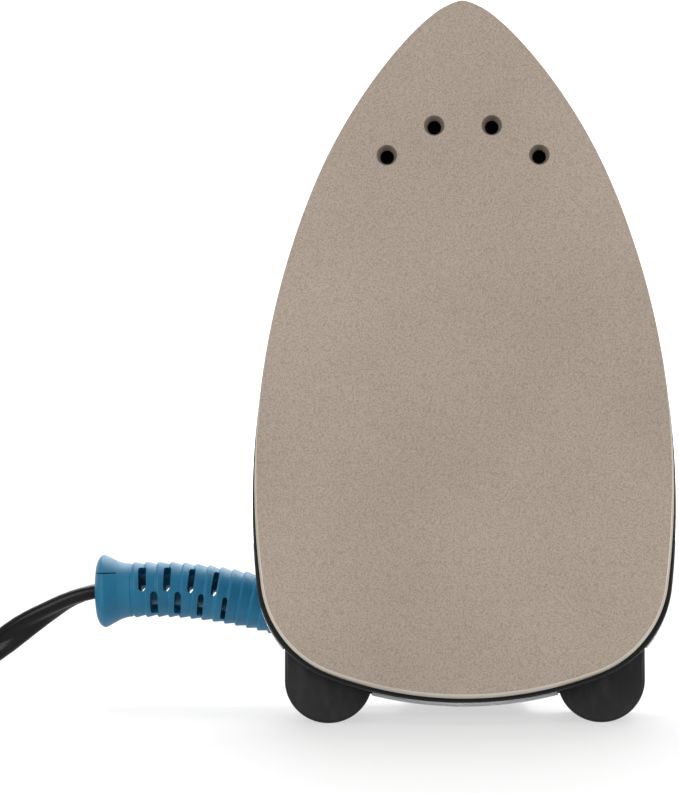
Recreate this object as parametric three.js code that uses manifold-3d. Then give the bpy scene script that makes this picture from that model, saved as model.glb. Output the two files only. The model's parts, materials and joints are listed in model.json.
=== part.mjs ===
// A compact travel steam iron, standing on its heel with the nose up.
// Units are millimetres and +Z is up. The sole faces -Y.
// Most pieces are drawn in the iron's own frame, which leans back when it stands:
// x runs across, y is the height above the sole's face, z runs from the heel to the nose.
import * as THREE from 'three';
import { mergeVertices } from 'three/addons/utils/BufferGeometryUtils.js';
import Module from 'manifold-3d';

const wasm = await Module();
wasm.setup();

// ---------------------------------------------------------------- driving dimensions
const GAP = 0.3;                       // running clearance between neighbouring pieces
const LEAN = THREE.MathUtils.degToRad(7);
const HEEL_LIFT = 7.6;                 // the sole's rear edge above the floor
const CENTRE_Y = 60.0625;              // middle of the iron's depth, brought to y = 0

// The sole's outline: five tangent arcs on each side of the centre line.
const SOLE = { length: 177.2, halfWidth: 52.6, widestZ: 54, thickness: 8, bevel: 1.3 };
const REAR_RADIUS = 95;
const CORNER_RADIUS = 27;
const SIDE_RADIUS = 200;
const SHOULDER_RADIUS = 135;
const NOSE_RADIUS = 11.6;

const SKIRT = { bottom: 8.3, top: 15.2, wall: 2, flange: 5 };
const TANK = { bottom: 15.5, top: 38, wall: 1.8, floor: 1.8 };
const LID = { bottom: 38.3, top: 39.8 };
const BODY = { bottom: 40.1, top: 58, wall: 2 };
const CHAMBER = { rear: 84, wall: 2.5, inset: 8, top: 11.4 };
const LOBE = { x: 34.5, radius: 11.1, flat: 0.35, side: 19.5, front: 15.5, back: 52 };
const DRUM = { y: 80, bottom: 10, top: 24, radius: 15.5, slotY: 72 };
const TOWER = { bottom: 4.2, top: 36, radius: 16.3, halfWidth: 18.5, splitZ: 17 };
const VENTS = [[-19.3, 137.1], [-7.3, 144.7], [7.3, 144.7], [19.3, 137.1]];
const VENT = { mouth: 2.55, bore: 1.7, depth: 3.4 };
const DIAL = { z: 56, radius: 13, bottom: 58.3, top: 65.5, stem: 2.6 };
const VALVE = { z: 130, rod: 1.1, tube: 2.8 };
const FILL = { z: 154, hole: 6 };

// ---------------------------------------------------------------- shape helpers
const point = (x, y, z) => new THREE.Vector3(x, y, z);

// A closed geometry with merged corners, as a solid that can be cut and joined.
function solid(geometry) {
  const bare = geometry.clone();
  for (const name of Object.keys(bare.attributes)) {
    if (name !== 'position') bare.deleteAttribute(name);
  }
  const merged = mergeVertices(bare, 1e-4);
  const corners = merged.index.array;
  const triVerts = [];
  for (let i = 0; i < corners.length; i += 3) {
    const [a, b, c] = [corners[i], corners[i + 1], corners[i + 2]];
    if (a !== b && b !== c && c !== a) triVerts.push(a, b, c);
  }
  return new wasm.Manifold(new wasm.Mesh({
    numProp: 3,
    vertProperties: Float32Array.from(merged.attributes.position.array),
    triVerts: Uint32Array.from(triVerts),
  }));
}

function geometryOf(shape) {
  const { vertProperties, triVerts } = shape.getMesh();
  const geometry = new THREE.BufferGeometry();
  geometry.setAttribute('position', new THREE.BufferAttribute(vertProperties, 3));
  geometry.setIndex(new THREE.BufferAttribute(triVerts, 1));
  geometry.computeVertexNormals();
  return geometry;
}

const join = (...shapes) => shapes.reduce((sum, shape) => sum.add(shape));
const cut = (shape, ...tools) => tools.reduce((rest, tool) => rest.subtract(tool), shape);
const common = (...shapes) => shapes.reduce((rest, shape) => rest.intersect(shape));

function box(x0, x1, y0, y1, z0, z1) {
  const geometry = new THREE.BoxGeometry(x1 - x0, y1 - y0, z1 - z0);
  return solid(geometry.translate((x0 + x1) / 2, (y0 + y1) / 2, (z0 + z1) / 2));
}

function cylinder(radius, from, to, sides = 24, tipRadius = radius) {
  const along = to.clone().sub(from);
  const geometry = new THREE.CylinderGeometry(tipRadius, radius, along.length(), sides);
  const turn = new THREE.Quaternion().setFromUnitVectors(point(0, 1, 0), along.clone().normalize());
  geometry.applyQuaternion(turn);
  const middle = from.clone().add(to).multiplyScalar(0.5);
  return solid(geometry.translate(middle.x, middle.y, middle.z));
}

// An upright turned piece at (x, z); its profile lists [radius, y] and starts and ends on the axis.
function turned(profile, x, z, sides = 24) {
  const geometry = new THREE.LatheGeometry(profile.map(([r, y]) => new THREE.Vector2(r, y)), sides);
  return outward(solid(geometry.translate(x, 0, z)), geometry);
}

// A lathe profile may be listed upwards or downwards, so a solid that comes out inside out is turned.
function outward(shape, geometry) {
  if (shape.volume() > 0) return shape;
  const flipped = geometry.index.array.slice();
  for (let i = 0; i < flipped.length; i += 3) {
    [flipped[i], flipped[i + 1]] = [flipped[i + 1], flipped[i]];
  }
  geometry.setIndex(new THREE.BufferAttribute(flipped, 1));
  return solid(geometry);
}

// A tube of round section along a smooth curve through the points.
function tube(points, radius, { sides = 8, steps = 40 } = {}) {
  const path = new THREE.CatmullRomCurve3(points, false, 'centripetal');
  const section = new THREE.Shape().absarc(0, 0, radius, 0, Math.PI * 2);
  const geometry = new THREE.ExtrudeGeometry(section, {
    steps, extrudePath: path, curveSegments: sides / 2, bevelEnabled: false,
  });
  return solid(geometry);
}

// Rings of equal length, joined in order and closed by a fan at each end.
function loft(rings) {
  const count = rings[0].length;
  const vertices = rings.flat();
  const middle = (ring) => ring.reduce((sum, p) => sum.add(p), point(0, 0, 0)).multiplyScalar(1 / count);
  vertices.push(middle(rings[0]), middle(rings[rings.length - 1]));
  const first = vertices.length - 2;
  const last = vertices.length - 1;
  const lastRing = (rings.length - 1) * count;
  const corners = [];
  for (let i = 0; i < count; i++) {
    const next = (i + 1) % count;
    corners.push(first, next, i, last, lastRing + i, lastRing + next);
    for (let row = 0; row < rings.length - 1; row++) {
      const a = row * count;
      const b = a + count;
      corners.push(a + i, a + next, b + next, a + i, b + next, b + i);
    }
  }
  const geometry = new THREE.BufferGeometry().setFromPoints(vertices);
  geometry.setIndex(new THREE.BufferAttribute(Uint32Array.from(corners), 1));
  return outward(solid(geometry), geometry);
}

// ---------------------------------------------------------------- the sole's outline
// The circle of the given radius that touches circles a and b from the inside.
function touching(a, b, radius) {
  const reachA = Math.abs(a.radius - radius);
  const reachB = Math.abs(b.radius - radius);
  const gap = b.centre.clone().sub(a.centre);
  const distance = gap.length();
  const along = (reachA ** 2 - reachB ** 2 + distance ** 2) / (2 * distance);
  const across = Math.sqrt(reachA ** 2 - along ** 2);
  const unit = gap.divideScalar(distance);
  const foot = a.centre.clone().addScaledVector(unit, along);
  const side = new THREE.Vector2(-unit.y, unit.x).multiplyScalar(across);
  const choices = [foot.clone().add(side), foot.clone().sub(side)];
  return { centre: choices[0].x > choices[1].x ? choices[0] : choices[1], radius };
}

function outlineArcs() {
  const rear = { centre: new THREE.Vector2(0, REAR_RADIUS), radius: REAR_RADIUS, steps: 3 };
  const side = {
    centre: new THREE.Vector2(SOLE.halfWidth - SIDE_RADIUS, SOLE.widestZ), radius: SIDE_RADIUS, steps: 5,
  };
  const nose = {
    centre: new THREE.Vector2(0, SOLE.length - NOSE_RADIUS), radius: NOSE_RADIUS, steps: 4,
  };
  const corner = { ...touching(side, rear, CORNER_RADIUS), steps: 6 };
  const shoulder = { ...touching(side, nose, SHOULDER_RADIUS), steps: 4 };
  const meet = (big, small) => small.centre.clone().sub(big.centre).angle();
  const joints = [
    Math.PI * 1.5, meet(rear, corner), meet(side, corner), meet(side, shoulder) + Math.PI * 2,
    meet(shoulder, nose) + Math.PI * 2, Math.PI * 2.5,
  ];
  return [rear, corner, side, shoulder, nose].map((arc, i) => ({
    ...arc, from: joints[i], to: joints[i + 1],
  }));
}

const ARCS = outlineArcs();

// The outline as [x, z] points, pushed outward by a distance, or by a function of z.
// Hidden hollows use fewer steps along each arc.
function outline(offset = 0, detail = 1) {
  const push = typeof offset === 'function' ? offset : () => offset;
  const right = [];
  ARCS.forEach((arc, index) => {
    const steps = Math.ceil(arc.steps * detail);
    const last = index === ARCS.length - 1 ? steps : steps - 1;
    for (let i = 0; i <= last; i++) {
      const angle = THREE.MathUtils.lerp(arc.from, arc.to, i / steps);
      const out = new THREE.Vector2(Math.cos(angle), Math.sin(angle));
      const rim = arc.centre.clone().addScaledVector(out, arc.radius);
      right.push(rim.addScaledVector(out, push(rim.y)));
    }
  });
  const left = right.slice(1, -1).reverse().map((p) => new THREE.Vector2(-p.x, p.y));
  return [...right, ...left];
}

const ring = (offset, y, detail) => outline(offset, detail).map((p) => point(p.x, y, p.y));

// An upright body with the sole's outline; levels lists [y, offset] from the bottom up.
const stack = (levels, detail = 1) => loft(levels.map(([y, offset]) => ring(offset, y, detail)));
const HOLLOW = 0.5;

const WIDE = 400;                      // larger than the whole iron, for cutting blocks
const beyondZ = (z) => box(-WIDE, WIDE, -WIDE, WIDE, z, z + WIDE);
const aboveY = (y) => box(-WIDE, WIDE, y, y + WIDE, -WIDE, WIDE);
const belowY = (y) => box(-WIDE, WIDE, y - WIDE, y, -WIDE, WIDE);

// ---------------------------------------------------------------- standing frame
// Pieces that are square to the floor are drawn in the standing frame and laid into the iron's.
const leaning = new THREE.Matrix4().makeRotationX(-LEAN).setPosition(0, 0, HEEL_LIFT);
const unlean = leaning.clone().invert();
const intoIron = (shape) => shape.transform(unlean.toArray());

// ---------------------------------------------------------------- soleplate and steam chamber
const COVER_SCREWS = [[-25, 91], [25, 91], [0, 154]];
const CHAMBER_BOSS = 3;
const ELEMENT = { radius: 2.5, depth: 4.2 };

function elementPath() {
  const right = [
    point(20, 12.5, 16), point(20.3, 7.5, 19), point(22, 4.6, 25), point(27, ELEMENT.depth, 36),
    point(30, ELEMENT.depth, 55), point(30, ELEMENT.depth, 85), point(26.5, ELEMENT.depth, 106),
    point(16, ELEMENT.depth, 121),
  ];
  const left = right.map((p) => point(-p.x, p.y, p.z)).reverse();
  return [...right, point(0, ELEMENT.depth, 127), ...left];
}

// The wall that stands on the soleplate around the steam chamber, between two heights.
function chamberWall(bottom, top, outer, inner) {
  const block = common(stack([[bottom, -outer], [top, -outer]], HOLLOW), beyondZ(CHAMBER.rear));
  const room = stack([[bottom - 1, -inner], [top + 1, -inner]], HOLLOW);
  return cut(block, common(room, beyondZ(CHAMBER.rear + inner - outer)));
}

function soleplate() {
  const { thickness, bevel } = SOLE;
  const plate = stack([
    [0, -bevel], [0.35, -0.35 * bevel], [bevel, 0], [thickness - 1, 0], [thickness, -1],
  ]);
  const inner = CHAMBER.inset + CHAMBER.wall;
  const wall = chamberWall(thickness - 1, CHAMBER.top, CHAMBER.inset, inner);
  const bosses = COVER_SCREWS.map(([x, z]) => cylinder(CHAMBER_BOSS,
    point(x, thickness - 1, z), point(x, CHAMBER.top, z), 12));
  const screwHoles = COVER_SCREWS.map(([x, z]) => cylinder(1.55,
    point(x, thickness + 0.5, z), point(x, CHAMBER.top + 1, z), 10));
  const vents = VENTS.map(([x, z]) => turned([
    [0, -1], [VENT.mouth + 0.6, -1], [VENT.mouth, 0], [VENT.bore, VENT.depth], [VENT.bore, 9], [0, 9],
  ], x, z, 16));
  const elementBore = tube(elementPath(), ELEMENT.radius + GAP, { steps: 32 });
  return cut(join(plate, wall, ...bosses), ...screwHoles, ...vents, elementBore);
}

function heatingElement() {
  const pins = [-1, 1].map((side) => cylinder(1.1,
    point(side * 20, 12, 16), point(side * 20, 14.4, 15), 8));
  return join(tube(elementPath(), ELEMENT.radius, { steps: 32 }), ...pins);
}

const CHAMBER_TOP = 13.6;

function chamberSeal() {
  return chamberWall(CHAMBER.top + GAP, CHAMBER.top + 0.9, CHAMBER.inset, CHAMBER.inset + CHAMBER.wall);
}

function chamberCover() {
  const plate = stack([[CHAMBER.top + 1.2, -7.4], [CHAMBER_TOP, -7.4]], HOLLOW);
  const inlet = cylinder(VALVE.tube + GAP, point(0, 0, VALVE.z), point(0, 20, VALVE.z), 16);
  const holes = COVER_SCREWS.map(([x, z]) => cylinder(1.6, point(x, 0, z), point(x, 20, z), 10));
  return cut(common(plate, beyondZ(CHAMBER.rear - 0.6)), inlet, tubeHole(1), ...holes);
}

// A pan head on a plain shank, pointing down along y from the head's seat.
function screw(x, seat, z, length, shank = 1.2, head = 2.3) {
  const tip = seat - length;
  return turned([
    [0, tip], [shank * 0.7, tip], [shank, tip + 0.6], [shank, seat], [head, seat],
    [head, seat + 0.9], [head * 0.7, seat + 1.3], [0, seat + 1.3],
  ], x, z, 12);
}

function thermostatBase() {
  const can = turned([[0, 8.3], [9, 8.3], [9, 11.2], [7.6, 11.2], [7.6, 13], [3.4, 13], [3.4, 10], [0, 10]],
    0, DIAL.z, 20);
  const tabs = [-1, 1].map((side) => box(side * 12 - 3.5, side * 12 + 3.5, 8.3, 9.1,
    DIAL.z - 3, DIAL.z + 3));
  return join(can, ...tabs);
}

const thermostatStem = () => cylinder(DIAL.stem, point(0, 10.4, DIAL.z), point(0, 61.5, DIAL.z), 14);

function thermalFuse() {
  const body = cylinder(1.9, point(-9, 10.4, 72), point(9, 10.4, 72), 12);
  const leads = [-1, 1].map((side) => cylinder(0.7, point(side * 8.5, 10.4, 72),
    point(side * 16, 10.4, 72), 8));
  return join(body, ...leads);
}

// ---------------------------------------------------------------- skirt and water tank
// An edge that stands proud of the sole's outline by [z, distance] stops along the iron.
const edgeAlong = (stops) => (z) => {
  const next = stops.findIndex(([stop]) => stop >= z);
  if (next <= 0) return stops[next === 0 ? 0 : stops.length - 1][1];
  const [z0, low] = stops[next - 1];
  const [z1, high] = stops[next];
  return THREE.MathUtils.mapLinear(z, z0, z1, low, high);
};

// The skirt and the tank stand proud of the soleplate round the heel and draw in towards the nose.
const skirtEdge = edgeAlong([[0, 0.8], [22, 1.35], [50, 1.1], [84, 0.45], [140, 0.25]]);
const tankEdge = edgeAlong([[0, 1.5], [22, 1.9], [50, 1.45], [84, 0.8], [140, 0.5]]);
const inset = (edge, distance) => (z) => edge(z) - distance;
const SKIRT_DRAFT = 0.35;              // how far the skirt draws in from front to back
const TANK_DRAFT = 1.3;                // and the tank
const tankTop = inset(tankEdge, TANK_DRAFT);

// A heel lobe's section: round below, with its outer side straight up to the body.
function lobeRing(side, growth, y) {
  const radius = LOBE.radius + growth;
  const centreZ = LOBE.radius - LOBE.flat;
  const points = [];
  const arcSteps = 18;
  for (let i = 0; i <= arcSteps; i++) {
    const angle = Math.PI * (0.5 + (1.5 * i) / arcSteps);
    points.push(point(side * (LOBE.x + radius * Math.cos(angle)), y, centreZ + radius * Math.sin(angle)));
  }
  points.push(point(side * (LOBE.x + radius), y, LOBE.side + growth));
  return points;
}

// Both lobes from y0 to y1 along the floor, grown by a clearance.
function lobePair(growth, y0, y1) {
  return intoIron(join(...[-1, 1].map((side) => (
    loft([lobeRing(side, growth, y0), lobeRing(side, growth, y1)])
  ))));
}

const lobeCutter = (growth) => lobePair(growth, 0, 90);

const floorCutter = (height) => intoIron(box(-WIDE, WIDE, -WIDE, WIDE, height - WIDE, height));

function skirt() {
  const { bottom, top, wall, flange } = SKIRT;
  const outside = stack([[bottom, skirtEdge], [top, inset(skirtEdge, SKIRT_DRAFT)]]);
  const room = stack([[bottom - 1, inset(skirtEdge, wall)], [top - wall, inset(skirtEdge, wall)]], HOLLOW);
  const mouth = stack([[bottom, inset(skirtEdge, flange)], [top + 1, inset(skirtEdge, flange)]], HOLLOW);
  return cut(outside, room, mouth);
}

// Dry ways down through the tank, for the thermostat's stem and for the heater's wires.
const WIRE_WAY = { z: 31, radius: 3.4 };
const DRY_WAYS = [[DIAL.z, 4.2], [WIRE_WAY.z, WIRE_WAY.radius]];
const PUMP_TUBE = { x: 7, z: 136, radius: 1.5 };

function dryWays(extra) {
  return join(...DRY_WAYS.map(([z, radius]) => cylinder(radius + extra,
    point(0, -5, z), point(0, 90, z), 16)));
}

const valveHole = () => cylinder(VALVE.tube + GAP, point(0, 0, VALVE.z), point(0, 60, VALVE.z), 16);

function tubeHole(side) {
  return cylinder(PUMP_TUBE.radius + GAP, point(side * PUMP_TUBE.x, 0, PUMP_TUBE.z),
    point(side * PUMP_TUBE.x, 60, PUMP_TUBE.z), 12);
}

function waterTank() {
  const { bottom, top, wall, floor } = TANK;
  const outside = cut(stack([[bottom, tankEdge], [top, tankTop]]), lobeCutter(0.5));
  const inside = cut(stack([
    [bottom + floor, inset(tankEdge, wall)], [top + 1, inset(tankTop, wall)],
  ], HOLLOW), lobeCutter(0.5 + wall), dryWays(wall));
  return cut(outside, inside, dryWays(0), valveHole(), tubeHole(1));
}

function tankLid() {
  const plate = stack([[LID.bottom, tankTop], [LID.top, tankTop]]);
  const filler = cylinder(FILL.hole, point(0, 30, FILL.z), point(0, 60, FILL.z), 20);
  const holes = join(valveHole(), tubeHole(1), tubeHole(-1), filler);
  return cut(plate, lobeCutter(0.5), dryWays(0), holes);
}

function valveSeat() {
  return turned([
    [1.5, 12.9], [VALVE.tube, 12.9], [VALVE.tube, 17.6], [4.6, 17.6], [4.6, 18.8], [1.5, 18.8], [1.5, 12.9],
  ], 0, VALVE.z, 16);
}

// ---------------------------------------------------------------- upper body and handle
// The handle's centre line, as [z, y] points with half-width and half-height at each.
const HANDLE = [
  { z: 36, y: 84, half: [15.5, 12.5] }, { z: 47, y: 89, half: [14.8, 11.5] },
  { z: 63, y: 92.6, half: [14.2, 10.8] }, { z: 86, y: 93.8, half: [14, 10.5] },
  { z: 110, y: 93.3, half: [13.6, 10.5] }, { z: 126, y: 87, half: [13.2, 10.5] },
  { z: 134, y: 76, half: [13.2, 10.3] }, { z: 137.5, y: 63, half: [14, 10.6] },
  { z: 138, y: 48, half: [16, 12] },
];
const handlePath = new THREE.CatmullRomCurve3(HANDLE.map(({ z, y }) => point(0, y, z)), false, 'centripetal');
const handleHalf = new THREE.CatmullRomCurve3(HANDLE.map(({ half }) => point(half[0], half[1], 0)));

// One handle section: offsets across and outward from the centre line, at a fraction of its length.
function handleRing(fraction, offsets) {
  const centre = handlePath.getPoint(fraction);
  const along = handlePath.getTangent(fraction);
  const out = point(0, along.z, -along.y);
  return offsets.map(([x, h]) => centre.clone().addScaledVector(out, h).setX(x));
}

function roundSection(fraction, wall, sides) {
  const half = handleHalf.getPoint(fraction);
  const squareness = 2 / 2.5;
  const bulge = (value) => Math.sign(value) * Math.abs(value) ** squareness;
  return Array.from({ length: sides }, (_, i) => {
    const angle = (i / sides) * Math.PI * 2;
    return [(half.x - wall) * bulge(Math.cos(angle)), (half.y - wall) * bulge(Math.sin(angle))];
  });
}

function sweepHandle(from, to, steps, section) {
  const fractions = Array.from({ length: steps + 1 }, (_, i) => from + (to - from) * (i / steps));
  return loft(fractions.map((fraction) => handleRing(fraction, section(fraction))));
}

const handleOutside = () => sweepHandle(0, 1, 18, (fraction) => roundSection(fraction, 0, 18));
const handleInside = () => sweepHandle(0.04, 1, 12, (fraction) => roundSection(fraction, 2, 12));

// The part of the handle that the soft grip covers, between two stations and above the seam.
function gripRegion(clearance) {
  const seam = 1.5 - clearance;
  const section = () => [[-30, seam], [30, seam], [30, 20], [-30, 20]];
  return sweepHandle(0.14 - clearance * 0.002, 0.62 + clearance * 0.002, 10, section);
}

// The deck slopes down towards the nose from the foot of the handle.
const DECK = { z: 138, slope: Math.atan2(10, 39) };

function aboveDeck(lift) {
  const geometry = new THREE.BoxGeometry(WIDE, WIDE, WIDE).translate(0, WIDE / 2, 0);
  return solid(geometry.rotateX(DECK.slope).translate(0, BODY.top + lift, DECK.z));
}

function domeOutside() {
  return cut(stack([
    [BODY.bottom, tankTop], [45, -0.7], [50, -2.6], [54, -5.6], [56.6, -8.5], [BODY.top, -11],
  ]), aboveDeck(0));
}

function domeInside() {
  return cut(stack([
    [BODY.bottom - 1, inset(tankTop, 2)], [45, -2.7], [50, -4.8], [54, -8.4], [BODY.top - 2, -11],
  ], HOLLOW), aboveDeck(-2));
}

// The round tower at the heel, square to the floor, that holds the cord's swivel.
function towerRing(shrink, z) {
  const { radius, halfWidth } = TOWER;
  const points = [point(halfWidth - shrink, LOBE.back - 6, z)];
  const arcSteps = 12;
  for (let i = 0; i <= arcSteps; i++) {
    const angle = (i / arcSteps) * Math.PI;
    const reach = radius - shrink;
    points.push(point(reach * Math.cos(angle), DRUM.y + reach * Math.sin(angle), z));
  }
  points.push(point(-(halfWidth - shrink), LOBE.back - 6, z));
  return points;
}

function towerOutside() {
  const { bottom, top } = TOWER;
  return intoIron(loft([
    towerRing(1.6, bottom), towerRing(0.5, bottom + 0.5), towerRing(0, bottom + 1.8), towerRing(0, top - 5),
    towerRing(1.2, top - 2), towerRing(4, top),
  ]));
}

// The tower is hollow below the swivel, and a level way leads the wires over from the swivel's axis.
function towerInside() {
  return intoIron(join(
    box(-14, 14, LOBE.back - 8, 61.5, TOWER.bottom + 2, TOWER.top - 3),
    box(-8, 8, LOBE.back - 2, DRUM.y + 3, TOWER.top - 7.5, TOWER.top - 3),
  ));
}

// The room for the swivel: the drum, its two spigots, the wire way and the open slot behind.
function swivelRoom() {
  const upright = (radius, z0, z1) => cylinder(radius, point(0, DRUM.y, z0), point(0, DRUM.y, z1), 24);
  return intoIron(join(
    upright(DRUM.radius + GAP, DRUM.bottom - GAP, DRUM.top + GAP),
    box(-30, 30, DRUM.slotY, DRUM.y + 30, DRUM.bottom - GAP, DRUM.top + GAP),
    upright(5 + GAP, DRUM.top, DRUM.top + 3.6),
    upright(4 + GAP, DRUM.bottom - 3, DRUM.bottom),
    upright(3, DRUM.top, TOWER.top - 1),
  ));
}

const HEEL_SCREWS = [-11.5, 11.5];
const HEEL_SCREW_Y = 55;

function heelBosses(radius) {
  return intoIron(join(...HEEL_SCREWS.map((x) => cylinder(radius,
    point(x, HEEL_SCREW_Y, 1.5), point(x, HEEL_SCREW_Y, 27), 12))));
}

function heelScrewHoles() {
  return intoIron(join(...HEEL_SCREWS.flatMap((x) => [
    cylinder(1.9, point(x, HEEL_SCREW_Y, 0), point(x, HEEL_SCREW_Y, 25), 12),
    cylinder(3.1, point(x, HEEL_SCREW_Y, -1), point(x, HEEL_SCREW_Y, TOWER.bottom + 2.6), 14),
  ])));
}

// A long screw that comes up through the heel cover into a post of the housing.
function heelScrew(x) {
  const headZ = TOWER.bottom + 0.4;
  return intoIron(join(
    cylinder(1.5, point(x, HEEL_SCREW_Y, headZ + 1), point(x, HEEL_SCREW_Y, 24), 10),
    cylinder(2.7, point(x, HEEL_SCREW_Y, headZ), point(x, HEEL_SCREW_Y, headZ + 1.9), 14),
  ));
}

function upperBody() {
  const outside = join(domeOutside(), handleOutside(), towerOutside());
  const inside = join(domeInside(), handleInside(), towerInside());
  const shell = join(cut(outside, inside), common(outside, heelBosses(3.8)));
  return cut(shell, swivelRoom(), heelScrewHoles(), floorCutter(TOWER.bottom));
}

const UPPER_BODY = upperBody();
const belowSplit = (gap) => floorCutter(TOWER.splitZ + gap);

// The lobes that the iron stands on, with a small bevel round their front faces.
function heelLobes() {
  const bevel = 0.8;
  const lobes = join(
    lobePair(-bevel, LOBE.front - 5, LOBE.back),
    lobePair(0, LOBE.front + 2 * bevel, LOBE.back),
  );
  const front = box(-WIDE, WIDE, LOBE.front - WIDE, LOBE.front, -WIDE, WIDE);
  return cut(lobes, front, floorCutter(0));
}

function heelCover() {
  return join(common(UPPER_BODY, belowSplit(-GAP / 2)), heelLobes());
}

const SELECTOR = { rear: 110, front: 117, travel: 5, halfWidth: 5 };
const BURST = { z: 92, halfX: 7, halfZ: 6, top: 106.8 };
const LAMP = { z: 42, radius: 3 };

function handleOpenings() {
  const halfX = BURST.halfX + 0.4;
  const halfZ = BURST.halfZ + 0.4;
  return join(
    box(-1.8, 1.8, 95, 120, SELECTOR.rear - 0.4, SELECTOR.rear + 2.4 + SELECTOR.travel),
    box(-halfX, halfX, 97, 120, BURST.z - halfZ, BURST.z + halfZ),
    cylinder(LAMP.radius + GAP, point(0, 90, LAMP.z), point(0, 120, LAMP.z), 16),
  );
}

const handleShell = () => cut(UPPER_BODY, belowSplit(GAP / 2), handleOpenings());

function handleGrip() {
  return common(handleShell(), gripRegion(0));
}

const fillPoint = (z, lift) => point(0, BODY.top - (z - DECK.z) * Math.tan(DECK.slope) + lift, z);
const DOOR = { rear: 151.5, hinge: 167, halfRear: 8, halfFront: 5, thickness: 2, barrel: 1.8, pin: 0.9 };

function doorEars() {
  const axis = fillPoint(DOOR.hinge, GAP + DOOR.barrel);
  return join(...[-1, 1].map((side) => {
    const x0 = side < 0 ? -DOOR.halfFront - 2.2 : DOOR.halfFront + GAP;
    const ear = cylinder(DOOR.barrel, point(x0, axis.y, axis.z), point(x0 + 1.9, axis.y, axis.z), 14);
    return join(ear, box(x0, x0 + 1.9, axis.y - 4, axis.y, axis.z - 1.6, axis.z + 1.6));
  }));
}

function doorPinHole(radius) {
  const axis = fillPoint(DOOR.hinge, GAP + DOOR.barrel);
  return cylinder(radius, point(-20, axis.y, axis.z), point(20, axis.y, axis.z), 10);
}

// The domed shell over the tank, up to the deck that the handle stands on.
function bodyShell() {
  const lobes = lobePair(0.4, 0, LOBE.back + 0.4);
  const filler = cylinder(FILL.hole, point(0, 44, FILL.z + 4), point(0, 70, FILL.z + 4), 20);
  const dialHole = cylinder(DIAL.stem + 0.4, point(0, 50, DIAL.z), point(0, 62, DIAL.z), 16);
  const shell = cut(handleShell(), aboveY(BODY.top), lobes, filler, dialHole);
  return cut(join(shell, doorEars()), doorPinHole(DOOR.pin + GAP));
}

// The hollow handle, with the top of the swivel's tower.
function handleHousing() {
  return cut(handleShell(), belowY(BODY.top + GAP), gripRegion(GAP));
}

// ---------------------------------------------------------------- controls
function temperatureDial() {
  const { radius, bottom, top, stem, z } = DIAL;
  const cap = turned([
    [0, 61.9], [stem + GAP, 61.9], [stem + GAP, bottom + GAP], [radius, bottom + GAP],
    [radius, top - 1.6], [radius - 1.2, top], [0, top],
  ], 0, z, 24);
  const pointer = box(-1.2, 1.2, top - 0.5, top + 1, z + 2, z + radius - 2.5);
  return join(cap, pointer);
}

function dialBezel() {
  const { radius, bottom, z } = DIAL;
  return turned([
    [radius + 0.6, bottom], [radius + 3.6, bottom], [radius + 2.8, bottom + 1.3],
    [radius + 0.6, bottom + 1.3], [radius + 0.6, bottom],
  ], 0, z, 24);
}

// A prism across the iron, from an outline of [z, y] points.
function prism(points, halfWidth) {
  const shape = new THREE.Shape(points.map(([z, y]) => new THREE.Vector2(z, y)));
  const geometry = new THREE.ExtrudeGeometry(shape, { depth: halfWidth * 2, bevelEnabled: false });
  return solid(geometry.rotateY(-Math.PI / 2).translate(halfWidth, 0, 0));
}

// The slider's arm runs forward inside the handle; its wedge lets the valve rod rise.
function steamSelector() {
  const { rear, front, halfWidth } = SELECTOR;
  const pad = prism([
    [rear - 0.5, 104.3], [front + 0.5, 104.3], [front + 0.5, 105.6], [front - 0.8, 106.6],
    [rear + 0.8, 106.6], [rear - 0.5, 105.6],
  ], halfWidth);
  const stem = box(-1.5, 1.5, 85.6, 105, rear, rear + 2);
  const arm = prism([
    [rear, 85.2], [VALVE.z - SELECTOR.travel, 86.6], [VALVE.z - 0.4, 84.5], [VALVE.z + 1.3, 84.5],
    [VALVE.z + 1.3, 85.8], [VALVE.z - SELECTOR.travel, 88.2], [rear, 88.2],
  ], 2.6);
  return join(pad, stem, arm);
}

function burstButton() {
  const { z, halfX, halfZ, top } = BURST;
  const cap = loft([[100.4, 0], [top - 1, 0], [top, 1]].map(([y, shrink]) => [
    point(halfX - shrink, y, z - halfZ + shrink), point(halfX - shrink, y, z + halfZ - shrink),
    point(-halfX + shrink, y, z + halfZ - shrink), point(-halfX + shrink, y, z - halfZ + shrink),
  ]));
  return cut(cap, cylinder(2.1, point(0, 99, z), point(0, 103.8, z), 12));
}

function pumpPlunger() {
  return turned([[0, 94.2], [4.6, 94.2], [4.6, 95.6], [1.8, 95.6], [1.8, 103.4], [0, 103.4]], 0, BURST.z, 14);
}

function pumpBody() {
  return turned([
    [0, 87], [5.9, 87], [5.9, 96.2], [4.9, 96.2], [4.9, 88.1], [0, 88.1],
  ], 0, BURST.z, 18);
}

const SPRING_STEPS = 6;                // corners in each turn of a spring

// A coil spring standing along y at z.
function spring(z, bottom, top, radius, turns, wire) {
  const count = Math.round(turns * SPRING_STEPS);
  const points = Array.from({ length: count + 1 }, (_, i) => {
    const angle = (i / SPRING_STEPS) * Math.PI * 2;
    const y = THREE.MathUtils.lerp(bottom + wire, top - wire, i / count);
    return point(radius * Math.cos(angle), y, z + radius * Math.sin(angle));
  });
  return tube(points, wire, { sides: 4, steps: count });
}

// One tube draws water from the tank, the other leads it to the steam chamber.
function pumpTube(side, end) {
  const x = side * PUMP_TUBE.x;
  return tube([
    point(side * 2.5, 88.5, BURST.z + 6.6), point(side * 5.5, 87.6, 106), point(x, 86, 117),
    point(x, 79, 127.5), point(x, 64, 134), point(x, 48, PUMP_TUBE.z), point(x, 42, PUMP_TUBE.z),
    point(x, 30, PUMP_TUBE.z), point(x, end, PUMP_TUBE.z),
  ], PUMP_TUBE.radius, { sides: 6, steps: 20 });
}

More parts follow.
